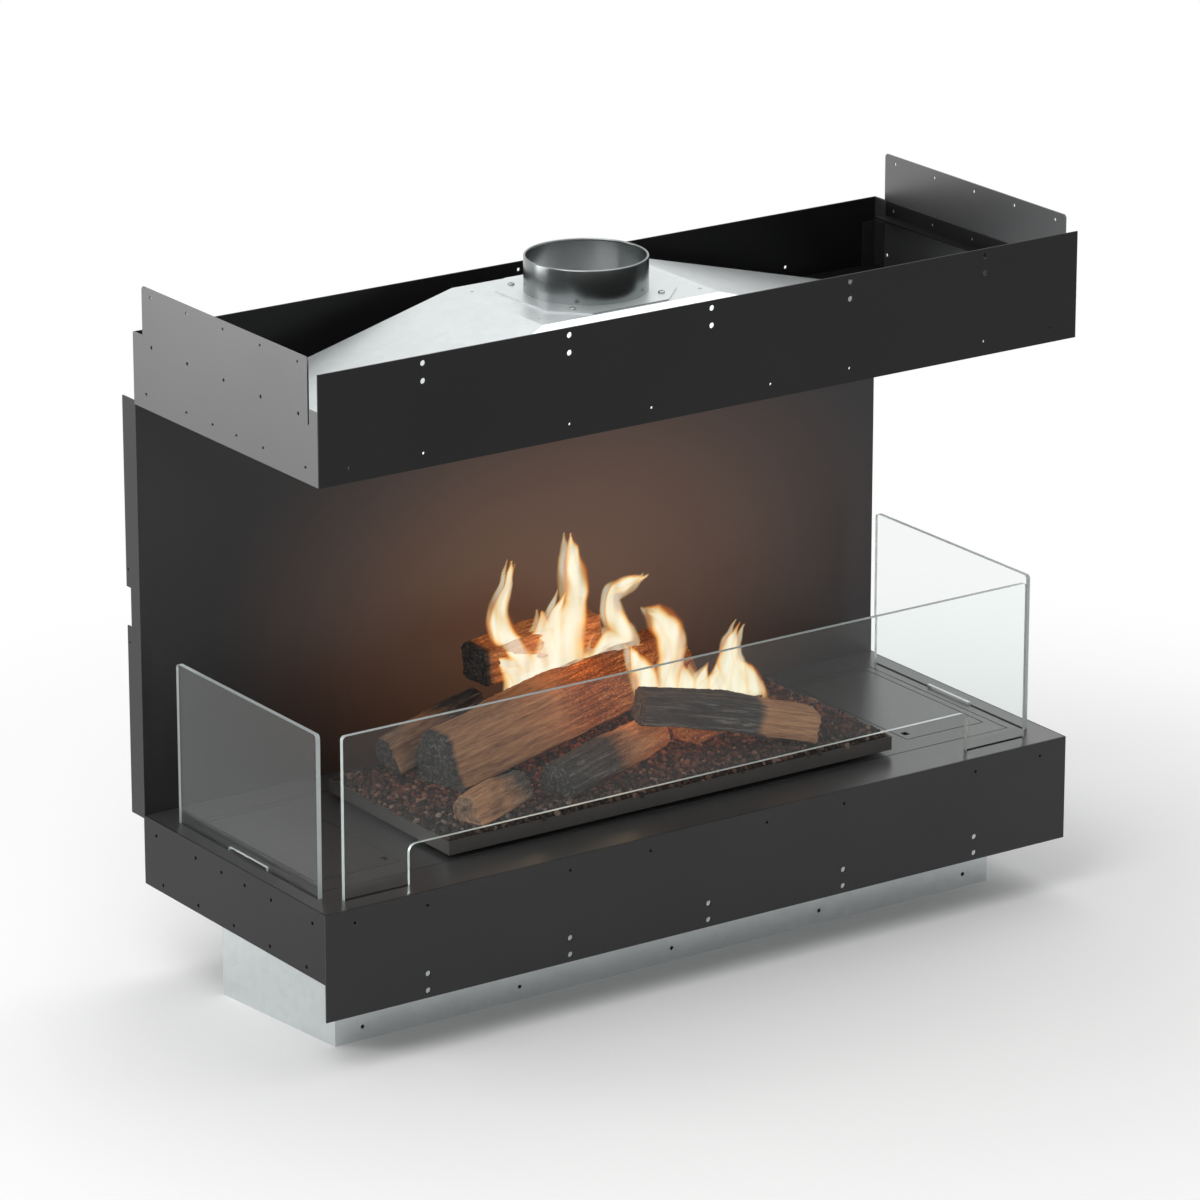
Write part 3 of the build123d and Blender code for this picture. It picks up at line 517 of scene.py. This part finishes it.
def shapedLog(node, look, material):
    source = meshObject(node + "_blank", weldedCopy(node + "_blank", node))
    remesh = source.modifiers.new("voxels", "REMESH")
    remesh.mode = "VOXEL"
    remesh.voxel_size = logs["voxel"]
    mesh = evaluatedMesh(source)
    bpy.data.objects.remove(source)
    mesh.name = node + "_detailed"
    count = len(mesh.vertices)
    points = np.empty(count * 3)
    mesh.vertices.foreach_get("co", points)
    points = points.reshape(-1, 3)
    normals = np.empty(count * 3)
    mesh.vertex_normals.foreach_get("vector", normals)
    normals = normals.reshape(-1, 3)
    centre = points.mean(axis=0)
    # the log's length is the way in which its points spread most
    axis = np.linalg.svd(points[::max(1, count // 3000)] - centre, full_matrices=False)[2][0]
    axis = axis if axis[0] > 0 else -axis
    across = np.cross((0, 0, 1), axis)
    across /= np.linalg.norm(across)
    upward = np.cross(axis, across)
    local = (points - centre) @ np.stack([axis, across, upward], 1)
    share = (local[:, 0] - local[:, 0].min()) / np.ptp(local[:, 0])
    amounts = {key: np.interp(share, *zip(*look[key])) for key in ("char", "bark", "glow")}
    endFace = np.abs(normals @ axis) > logs["endFrom"]
    upFace = np.clip(normals @ upward * 1.5 + 0.3, 0, 1)
    lowFace = np.clip(-(normals @ upward) * 2 - 0.6, 0, 1)
    seed = look["seed"] * logs["seedStep"]
    (lumpLong, lumpWide), (fibreLong, fibreWide), (cellLong, cellWide) = (
        logs[key] for key in ("lumpScale", "fibreScale", "cellScale"))
    for i in range(count):
        u, v, w = local[i]
        lump = noise.noise(Vector((u * lumpLong + seed, v * lumpWide, w * lumpWide)))
        if endFace[i]:
            depth = logs["endDepth"] * ridged(Vector((v * logs["endScale"], w * logs["endScale"], seed)))
        else:
            fibre = ridged(Vector((u * fibreLong + seed, v * fibreWide, w * fibreWide)))
            cell = noise.noise(Vector((u * cellLong, v * cellWide + seed, w * cellWide)))
            barkShare = amounts["bark"][i]
            relief = logs["fibreInBark"] * fibre + logs["cellInBark"] * max(0, cell)
            depth = (1 - barkShare) * logs["splitDepth"] * fibre + barkShare * logs["barkDepth"] * relief
        depth += logs["lumpDepth"] * max(0, lump)
        points[i] -= normals[i] * depth
    mesh.vertices.foreach_set("co", points.ravel())
    # grey where the look asks for char, at the ends, and on the faces that look down
    charred = np.clip(amounts["char"] + logs["greyBelow"] * lowFace + logs["charAtEnds"] * endFace, 0, 1)
    barked = amounts["bark"] * (0.4 + 0.6 * upFace) * (1 - endFace)
    # its third part is painted fire light, where the flames' light falls on the log
    finishAndFireLight = np.stack([charred, barked, amounts["glow"]], 1)
    mesh.attributes.new("finishAndFireLight", "FLOAT_VECTOR", "POINT").data.foreach_set("vector", finishAndFireLight.ravel())
    mesh.attributes.new("grain", "FLOAT_VECTOR", "POINT").data.foreach_set("vector", (local + seed).ravel())
    mesh.polygons.foreach_set("use_smooth", [True] * len(mesh.polygons))
    mesh.update()
    piece = meshObject(node + "_detailed", mesh)
    setMaterial(piece, material)
    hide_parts(node)
    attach(piece, "fire_bed")


logMaterial = paintedCeramicAndFireLight("painted_ceramic_and_fire_light")
for node, look in logs["looks"].items():
    shapedLog(node, look, logMaterial)
print("logs shaped:", len(logs["looks"]))


# ember chips, scattered over the bed

chips = {"size": 0.0068, "spread": 0.5, "density": 48000.0, "spacing": 0.0038, "seed": 5,
         "lumpiness": (0.72, 1.12), "flatness": 0.72, "glowPower": 0.1, "steepest": 0.2, "rimDrop": 0.002,
         "fireCentre": (0.03, 0.03), "fireReach": (0.27, 0.11), "fireLightMost": 1.2, "fireLightFall": 0.75,
         "cool": [(0.0, "#0f0c0a"), (0.5, "#2b201a"), (0.85, "#4c3b30"), (1.0, "#71645a")],
         "fireLit": [(0.0, "#160905"), (0.5, "#48200f"), (0.85, "#76391f"), (1.0, "#94593a")]}
fullTurn = 6.28


def firedClayAndFireLight(name):
    # broken fired clay: dull grey-brown lumps; the flames' light is painted on, so the lumps nearest the
    # flames turn red-brown and glow faintly
    material, tree, output = newMaterial(name)
    tone = addNode(tree, "ShaderNodeAttribute", attribute_name="tone")
    fireLit = addNode(tree, "ShaderNodeAttribute", attribute_name="fireLightShare")
    place = addNode(tree, "ShaderNodeTexCoord")
    pits = addNode(tree, "ShaderNodeTexNoise", {"Vector": place.outputs["Object"], "Scale": 500, "Detail": 3})
    cool, red = (rampStops(addNode(tree, "ShaderNodeValToRGB", {"Fac": tone.outputs["Fac"]}), chips[key])
                 for key in ("cool", "fireLit"))
    colour = addNode(tree, "ShaderNodeMix", {0: fireLit.outputs["Fac"], 6: cool, 7: red}, data_type="RGBA")
    bump = addNode(tree, "ShaderNodeBump", {
        "Height": pits.outputs["Fac"], "Strength": 0.4, "Distance": 0.0006})
    power = addNode(tree, "ShaderNodeMath", {0: fireLit.outputs["Fac"], 1: tone.outputs["Fac"]},
                    operation="MULTIPLY")
    paintedEmberGlow = addNode(tree, "ShaderNodeMath", {0: power.outputs["Value"], 1: chips["glowPower"]},
                   operation="MULTIPLY")
    shader = addNode(tree, "ShaderNodeBsdfPrincipled", {
        "Base Color": colour.outputs[2], "Roughness": 0.75, "Normal": bump.outputs["Normal"],
        "Emission Color": hexColour("#c8501e"), "Emission Strength": paintedEmberGlow.outputs["Value"]})
    tree.links.new(shader.outputs["BSDF"], output.inputs["Surface"])
    return material


def chipShape():
    random.seed(chips["seed"])
    bm = bmesh.new()
    bmesh.ops.create_icosphere(bm, subdivisions=1, radius=0.5)
    for vert in bm.verts:
        vert.co *= random.uniform(*chips["lumpiness"])
        vert.co.z *= chips["flatness"]
    mesh = bpy.data.meshes.new("chipShape")
    bm.to_mesh(mesh)
    bm.free()
    return meshObject("chipShape", mesh)


def chipTree(shape, material):
    tree = bpy.data.node_groups.new("scatterChips", "GeometryNodeTree")
    face = tree.interface
    face.new_socket("Geometry", in_out="INPUT", socket_type="NodeSocketGeometry")
    for label, value in (("Chip Size", chips["size"]), ("Size Spread", chips["spread"]),
                         ("Spacing", chips["spacing"]), ("Density", chips["density"])):
        face.new_socket(label, in_out="INPUT", socket_type="NodeSocketFloat").default_value = value
    face.new_socket("Geometry", in_out="OUTPUT", socket_type="NodeSocketGeometry")
    given = addNode(tree, "NodeGroupInput")
    points = addNode(tree, "GeometryNodeDistributePointsOnFaces", distribute_method="POISSON")
    for label, value in (("Mesh", "Geometry"), ("Distance Min", "Spacing"), ("Density Max", "Density")):
        tree.links.new(given.outputs[value], points.inputs[label])
    points.inputs["Seed"].default_value = chips["seed"]
    turn = addNode(tree, "FunctionNodeRandomValue", {1: (fullTurn, fullTurn, fullTurn), "Seed": 1},
                   data_type="FLOAT_VECTOR")
    low = addNode(tree, "ShaderNodeMath", {0: 1.0, 1: given.outputs["Size Spread"]}, operation="SUBTRACT")
    high = addNode(tree, "ShaderNodeMath", {0: 1.0, 1: given.outputs["Size Spread"]}, operation="ADD")
    vary = addNode(tree, "FunctionNodeRandomValue", {
        2: low.outputs["Value"], 3: high.outputs["Value"], "Seed": 2}, data_type="FLOAT")
    size = addNode(tree, "ShaderNodeMath", {0: vary.outputs[1], 1: given.outputs["Chip Size"]},
                   operation="MULTIPLY")
    shapeInfo = addNode(tree, "GeometryNodeObjectInfo", {"Object": shape})
    placed = addNode(tree, "GeometryNodeInstanceOnPoints", {
        "Points": points.outputs["Points"], "Instance": shapeInfo.outputs["Geometry"],
        "Rotation": turn.outputs[0], "Scale": size.outputs["Value"]})
    shade = addNode(tree, "FunctionNodeRandomValue", {"Seed": 3}, data_type="FLOAT")
    toned = addNode(tree, "GeometryNodeStoreNamedAttribute", {
        "Geometry": placed.outputs["Instances"], "Name": "tone", "Value": shade.outputs[1]},
        data_type="FLOAT", domain="INSTANCE")
    real = addNode(tree, "GeometryNodeRealizeInstances", {"Geometry": toned.outputs["Geometry"]})
    dressed = addNode(tree, "GeometryNodeSetMaterial", {
        "Geometry": real.outputs["Geometry"], "Material": material})
    addNode(tree, "NodeGroupOutput", {"Geometry": dressed.outputs["Geometry"]})
    return tree


def bedTop():
    # the bed's upper faces, down to a little below the tray's rim
    bm = bmesh.new()
    bm.from_mesh(weldedCopy("bedTop", "ember_bed"))
    bm.normal_update()
    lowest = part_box("burner_tray")[1][2] - chips["rimDrop"]
    for face in [f for f in bm.faces
                 if f.normal.z < chips["steepest"] or f.calc_center_median().z < lowest]:
        bm.faces.remove(face)
    bmesh.ops.delete(bm, geom=[v for v in bm.verts if not v.link_faces], context="VERTS")
    mesh = bpy.data.meshes.new("bedTop")
    bm.to_mesh(mesh)
    bm.free()
    return meshObject("bedTop", mesh)


shape = chipShape()
bed = bedTop()
scatter = bed.modifiers.new("scatter", "NODES")
scatter.node_group = chipTree(shape, firedClayAndFireLight("fired_clay_and_painted_fire_light"))
chipMesh = evaluatedMesh(bed)
bpy.data.objects.remove(bed)
bpy.data.objects.remove(shape)
chipPoints = np.empty(len(chipMesh.vertices) * 3)
chipMesh.vertices.foreach_get("co", chipPoints)
chipPoints = chipPoints.reshape(-1, 3)
# painted fire light: the nearer a chip lies to the fire, the more it takes the fire-lit tone and glows
fromFire = (chipPoints[:, :2] - chips["fireCentre"]) / chips["fireReach"]
fireLightShare = np.clip(chips["fireLightMost"] - np.hypot(*fromFire.T) * chips["fireLightFall"], 0, 1)
chipMesh.attributes.new("fireLightShare", "FLOAT", "POINT").data.foreach_set("value", fireLightShare)
emberChips = meshObject("ember_chips_loose", chipMesh)
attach(emberChips, "fire_bed")
print("ember chips:", len(chipMesh.polygons), "faces")


# flue collar: the tube turned smooth, with its bead rolled in at the rim

collar = {"sheet": 1.5, "bead": 1.4, "beadArc": 225, "beadSteps": 10, "beadReach": 2.2, "slices": 144,
          "sharpAngle": 40}


def turnedCollar(material):
    low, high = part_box("flue_collar")
    outer = (high[0] - low[0]) / 2
    centre = ((low[0] + high[0]) / 2, (low[1] + high[1]) / 2)
    inner, bead = outer - collar["sheet"] * mm, collar["bead"] * mm
    arc = [math.radians(collar["beadArc"] * k / collar["beadSteps"]) for k in range(collar["beadSteps"] + 1)]
    rim = [(outer - bead + bead * math.cos(a), high[2] - bead + bead * math.sin(a)) for a in arc]
    profile = [(outer, low[2])] + rim + [(inner, high[2] - collar["beadReach"] * bead), (inner, low[2])]
    verts, faces = [], []
    slices, steps = collar["slices"], len(profile)
    for k in range(slices):
        angle = 2 * math.pi * k / slices
        verts += [(centre[0] + r * math.cos(angle), centre[1] + r * math.sin(angle), z)
                  for r, z in profile]
    for k in range(slices):
        here, ahead = k * steps, (k + 1) % slices * steps
        for i in range(steps):
            j = (i + 1) % steps
            faces.append((here + i, ahead + i, ahead + j, here + j))
    mesh = bpy.data.meshes.new("flue_collar_turned")
    mesh.from_pydata(verts, [], faces)
    mesh.polygons.foreach_set("use_smooth", [True] * len(faces))
    mesh.set_sharp_from_angle(angle=math.radians(collar["sharpAngle"]))
    piece = meshObject("flue_collar_turned", mesh)
    setMaterial(piece, material)
    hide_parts("flue_collar")
    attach(piece, "casing")


turnedCollar(collarSteel)
print("collar turned")


# pan-head screws on the collar plate and on the smoke hood's flange

# a head's measures are shares of its radius and height
screws = {"slices": 48, "rings": 16, "edgeHeight": 0.45, "domePower": 3, "crossHalfWidth": 0.13,
          "crossHalfLength": 0.5, "crossDepth": 0.45, "nodes": ("collar_screws", "hood_screws")}


def panHead():
    # one head of radius 1 and height 1, domed, with a cross recess
    bm = bmesh.new()
    slices, rings, edge = screws["slices"], screws["rings"], screws["edgeHeight"]
    loops = []
    for ring in range(1, rings + 1):
        radius = ring / rings
        loop = []
        for i in range(slices):
            angle = 2 * math.pi * i / slices
            x, y = radius * math.cos(angle), radius * math.sin(angle)
            dome = edge + (1 - edge) * math.sqrt(max(0.0, 1 - radius ** screws["domePower"]))
            arms = (abs(x) < screws["crossHalfWidth"] and abs(y) < screws["crossHalfLength"]) or (
                abs(y) < screws["crossHalfWidth"] and abs(x) < screws["crossHalfLength"])
            loop.append(bm.verts.new((x, y, dome - (screws["crossDepth"] if arms else 0))))
        loops.append(loop)
    loops.append([bm.verts.new((v.co.x, v.co.y, 0)) for v in loops[-1]])
    middle = bm.verts.new((0, 0, 1 - screws["crossDepth"]))
    foot = bm.verts.new((0, 0, 0))
    for i in range(slices):
        j = (i + 1) % slices
        bm.faces.new((middle, loops[0][i], loops[0][j]))
        for inner, outer in zip(loops, loops[1:]):
            bm.faces.new((inner[i], outer[i], outer[j], inner[j]))
        bm.faces.new((foot, loops[-1][j], loops[-1][i]))
    mesh = bpy.data.meshes.new("panHead")
    bm.to_mesh(mesh)
    bm.free()
    return meshObject("panHead", mesh)


def islandBoxes(node):
    # the box round each separate solid of a node
    bm = bmesh.new()
    bm.from_mesh(weldedCopy(node + "_islands", node))
    boxes, seen = [], set()
    for start in bm.verts:
        if start in seen:
            continue
        group, queue = [], [start]
        seen.add(start)
        while queue:
            vert = queue.pop()
            group.append(vert.co.copy())
            for edge in vert.link_edges:
                other = edge.other_vert(vert)
                if other not in seen:
                    seen.add(other)
                    queue.append(other)
        low = [min(c[axis] for c in group) for axis in range(3)]
        high = [max(c[axis] for c in group) for axis in range(3)]
        boxes.append((low, high))
    bm.free()
    return boxes


def screwTree(name, head, radius, height, material):
    tree = bpy.data.node_groups.new(name, "GeometryNodeTree")
    face = tree.interface
    face.new_socket("Geometry", in_out="INPUT", socket_type="NodeSocketGeometry")
    for label, value in (("Head Radius", radius), ("Head Height", height)):
        face.new_socket(label, in_out="INPUT", socket_type="NodeSocketFloat").default_value = value
    face.new_socket("Geometry", in_out="OUTPUT", socket_type="NodeSocketGeometry")
    given = addNode(tree, "NodeGroupInput")
    size = addNode(tree, "ShaderNodeCombineXYZ", {
        "X": given.outputs["Head Radius"], "Y": given.outputs["Head Radius"],
        "Z": given.outputs["Head Height"]})
    turn = addNode(tree, "FunctionNodeRandomValue", {1: (0.0, 0.0, fullTurn), "Seed": 4},
                   data_type="FLOAT_VECTOR")
    headInfo = addNode(tree, "GeometryNodeObjectInfo", {"Object": head})
    placed = addNode(tree, "GeometryNodeInstanceOnPoints", {
        "Instance": headInfo.outputs["Geometry"], "Rotation": turn.outputs[0],
        "Scale": size.outputs["Vector"]})
    tree.links.new(given.outputs["Geometry"], placed.inputs["Points"])
    real = addNode(tree, "GeometryNodeRealizeInstances", {"Geometry": placed.outputs["Instances"]})
    dressed = addNode(tree, "GeometryNodeSetMaterial", {
        "Geometry": real.outputs["Geometry"], "Material": material})
    addNode(tree, "NodeGroupOutput", {"Geometry": dressed.outputs["Geometry"]})
    return tree


head = panHead()
for node in screws["nodes"]:
    boxes = islandBoxes(node)
    low, high = boxes[0]
    feet = bpy.data.meshes.new(node + "_feet")
    feet.from_pydata(
        [((first[0] + last[0]) / 2, (first[1] + last[1]) / 2, first[2]) for first, last in boxes], [], [])
    carrier = meshObject(node + "_feet", feet)
    repeat = carrier.modifiers.new("screws", "NODES")
    repeat.node_group = screwTree(node + "_tree", head, (high[0] - low[0]) / 2, high[2] - low[2],
                                  finishes["zinc_screws"])
    screwPiece = meshObject(node + "_cross_head", evaluatedMesh(carrier))
    bpy.data.objects.remove(carrier)
    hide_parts(node)
    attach(screwPiece, "casing")
    print(node, "made:", len(boxes))
bpy.data.objects.remove(head)


# flames: soft sheets of burning gas, shaped by the tongues that meet in each fire, for looks only

flames = {
    # lengths in millimetres: the grid's cell, what it reaches past the tongues and below their roots, and how
    # far each warp bends them, with its scale
    "cell": 1.6, "margin": 26, "below": 6, "warp": (8.0, 3.0), "warpScale": (0.02, 0.07), "warpStretch": 0.7,
    # beads are strung along each tongue, and each spreads a field that falls with distance
    "beads": 60, "leastRadius": 2.2, "fieldFall": 0.9, "thinField": 0.55, "fullWidth": 40,
    "coverFrom": 0.36, "coverTo": 0.62, "heartFrom": 0.38, "heartTo": 0.97, "heartGain": 1.05,
    "wispScale": (0.075, 0.03), "wispCover": (0.86, 0.5, 0.3), "wispHeart": 0.6, "rootHeart": 0.45,
    "leastCover": 0.004, "bow": 14, "bowScale": 0.018, "noiseSeed": 3, "sheetSeed": 0.35, "power": 1.08,
    # each sheet: shift in depth, breadth and cover
    "sheets": [(0, 1.0, 0.82), (9, 0.8, 0.5), (-9, 0.7, 0.5)],
    "ramp": [(0.0, "#cf6a2a"), (0.25, "#ee9a4a"), (0.55, "#ffcf86"), (0.85, "#fff0c6"), (1.0, "#fff8e0")],
    "fires": {
        # each point of a tongue is x, z and the width there
        "rear": {"depth": 96, "root": (272, 30), "tongues": [
            [(-62, 285, 50), (-60, 330, 36), (-84, 362, 34), (-102, 388, 42), (-92, 418, 24), (-84, 462, 3)],
            [(-76, 292, 44), (-72, 318, 50), (-92, 336, 16), (-98, 342, 3)],
            [(-44, 288, 80), (-30, 318, 96), (-34, 352, 42), (-40, 392, 4)],
            [(-6, 284, 74), (-6, 350, 60), (6, 396, 30), (8, 430, 38), (6, 482, 3)],
            [(-16, 340, 26), (-22, 374, 22), (-6, 410, 4)],
            [(26, 300, 60), (62, 330, 44), (88, 330, 26), (76, 352, 30), (66, 392, 24), (84, 402, 20),
             (112, 408, 3)]]},
        "front": {"depth": 24, "root": (240, 22), "tongues": [
            [(66, 272, 34), (60, 310, 36), (38, 358, 3)],
            [(92, 262, 60), (104, 318, 44), (102, 352, 48), (88, 380, 34), (70, 396, 4)],
            [(112, 258, 60), (128, 288, 34), (126, 312, 4)],
            [(140, 252, 60), (150, 280, 32), (164, 304, 4)],
            [(172, 248, 60), (176, 276, 30), (178, 300, 4)],
            [(198, 244, 60), (194, 298, 38), (192, 326, 26), (205, 354, 3)],
            [(228, 240, 56), (220, 272, 36), (206, 300, 4)]]},
    },
    "glowColour": "#ffab66", "glowSize": 0.05,
    "glows": [{"name": "rearFire", "place": (0.0, 0.05, 0.35), "power": 0.5},
              {"name": "frontFire", "place": (0.15, 0.0, 0.31), "power": 0.35}],
}


def burningEthanol(name):
    # burning ethanol: pale cream at the heart, thin amber along the rim, clear at the root
    material, tree, output = newMaterial(name)
    heart = addNode(tree, "ShaderNodeAttribute", attribute_name="heart")
    cover = addNode(tree, "ShaderNodeAttribute", attribute_name="cover")
    colour = rampStops(addNode(tree, "ShaderNodeValToRGB", {"Fac": heart.outputs["Fac"]}), flames["ramp"])
    gas = addNode(tree, "ShaderNodeBsdfPrincipled", {
        "Base Color": hexColour("#000000"), "Roughness": 1.0, "Specular IOR Level": 0.0,
        "Emission Color": colour, "Emission Strength": flames["power"], "Alpha": cover.outputs["Fac"]})
    tree.links.new(gas.outputs["BSDF"], output.inputs["Surface"])
    return material


def splinePoint(points, share):
    # a point on a smooth curve that runs through all the given ones
    place = share * (len(points) - 1)
    i = min(int(place), len(points) - 2)
    t = place - i
    a, b, c, d = (points[max(0, min(len(points) - 1, i + step))] for step in (-1, 0, 1, 2))
    bend = (2 * a - 5 * b + 4 * c - d) * t ** 2 + (3 * b - a - 3 * c + d) * t ** 3
    return 0.5 * (2 * b + (c - a) * t + bend)


def smoothStep(low, high, value):
    t = np.clip((value - low) / (high - low), 0, 1)
    return t * t * (3 - 2 * t)


def flameSheet(name, fire, shift, breadth, thickness, seed, material):
    steps = flames["beads"]
    beads = np.array([splinePoint(np.array(tongue, float), k / steps)
                      for tongue in fire["tongues"] for k in range(steps + 1)])
    margin, cell = flames["margin"], flames["cell"]
    bottom, fadeLength = fire["root"]
    xs = np.arange(beads[:, 0].min() - margin, beads[:, 0].max() + margin, cell)
    zs = np.arange(bottom - flames["below"], beads[:, 1].max() + margin, cell)
    gridX, gridZ = (grid.ravel() for grid in np.meshgrid(xs, zs))
    bentX, bentZ = gridX.copy(), gridZ.copy()
    for i, (x, z) in enumerate(zip(gridX, gridZ)):
        for amount, scale in zip(flames["warp"], flames["warpScale"]):
            bend = noise.noise_vector(Vector((x * scale, z * scale * flames["warpStretch"], seed)))
            bentX[i] += amount * bend.x
            bentZ[i] += amount * bend.y
    field = np.zeros(len(gridX))
    for x, z, width in beads:
        radius = max(flames["leastRadius"], width * breadth / 2)
        away = ((bentX - x) ** 2 + (bentZ - z) ** 2) / radius ** 2
        weight = min(1.0, flames["thinField"] + width / flames["fullWidth"])
        field = np.maximum(field, np.exp(-away * flames["fieldFall"]) * weight)
    root = smoothStep(bottom, bottom + fadeLength, gridZ)
    wispX, wispZ = flames["wispScale"]
    wisps = np.array([noise.noise(Vector((x * wispX, z * wispZ, seed + 9))) for x, z in zip(gridX, gridZ)])
    base, gain, least = flames["wispCover"]
    cover = smoothStep(flames["coverFrom"], flames["coverTo"], field) * root
    cover = cover * np.clip(base + wisps * gain, least, 1)
    core = smoothStep(flames["heartFrom"], flames["heartTo"], field) * flames["heartGain"]
    heart = np.clip(core + wisps * flames["wispHeart"], 0, 1)
    heart = heart * (flames["rootHeart"] + (1 - flames["rootHeart"]) * root)
    heart = heart if shift == 0 else 0.5 + 0.5 * heart  # only the middle sheet shows an amber rim
    columns = len(xs)
    keep = cover > flames["leastCover"]
    faces = []
    for row in range(len(zs) - 1):
        for column in range(columns - 1):
            a = row * columns + column
            corners = (a, a + 1, a + columns + 1, a + columns)
            if keep[list(corners)].any():
                faces.append(corners)
    bowScale = flames["bowScale"]
    bows = np.array([noise.noise(Vector((x * bowScale, z * bowScale, seed + 4)))
                     for x, z in zip(gridX, gridZ)])
    verts = np.stack([gridX, fire["depth"] + shift + flames["bow"] * bows, gridZ], 1) * mm
    mesh = bpy.data.meshes.new(name)
    mesh.from_pydata(verts.tolist(), [], faces)
    mesh.attributes.new("cover", "FLOAT", "POINT").data.foreach_set("value", cover * thickness)
    mesh.attributes.new("heart", "FLOAT", "POINT").data.foreach_set("value", heart)
    bm = bmesh.new()
    bm.from_mesh(mesh)
    bmesh.ops.delete(bm, geom=[v for v in bm.verts if not v.link_faces], context="VERTS")
    bm.to_mesh(mesh)
    bm.free()
    piece = meshObject(name, mesh)
    setMaterial(piece, material)
    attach(piece, "fire_bed")


noise.seed_set(flames["noiseSeed"])  # without a seed, noise_vector differs from run to run
flameMaterial = burningEthanol("burning_ethanol")
for fireName, fire in flames["fires"].items():
    for k, (shift, breadth, thickness) in enumerate(flames["sheets"]):
        seed = flames["sheetSeed"] * k
        flameSheet(f"flame_{fireName}_{k + 1}", fire, shift, breadth, thickness, seed, flameMaterial)
for glow in flames["glows"]:
    lamp = bpy.data.lights.new(glow["name"], "POINT")
    lamp.energy = glow["power"]
    lamp.color = hexColour(flames["glowColour"])[:3]
    lamp.shadow_soft_size = flames["glowSize"]
    holder = bpy.data.objects.new(glow["name"], lamp)
    holder.location = glow["place"]
    holder.visible_camera = holder.visible_glossy = holder.visible_transmission = False
    scene.collection.objects.link(holder)
print("flame sheets:", len(flames["fires"]) * len(flames["sheets"]))
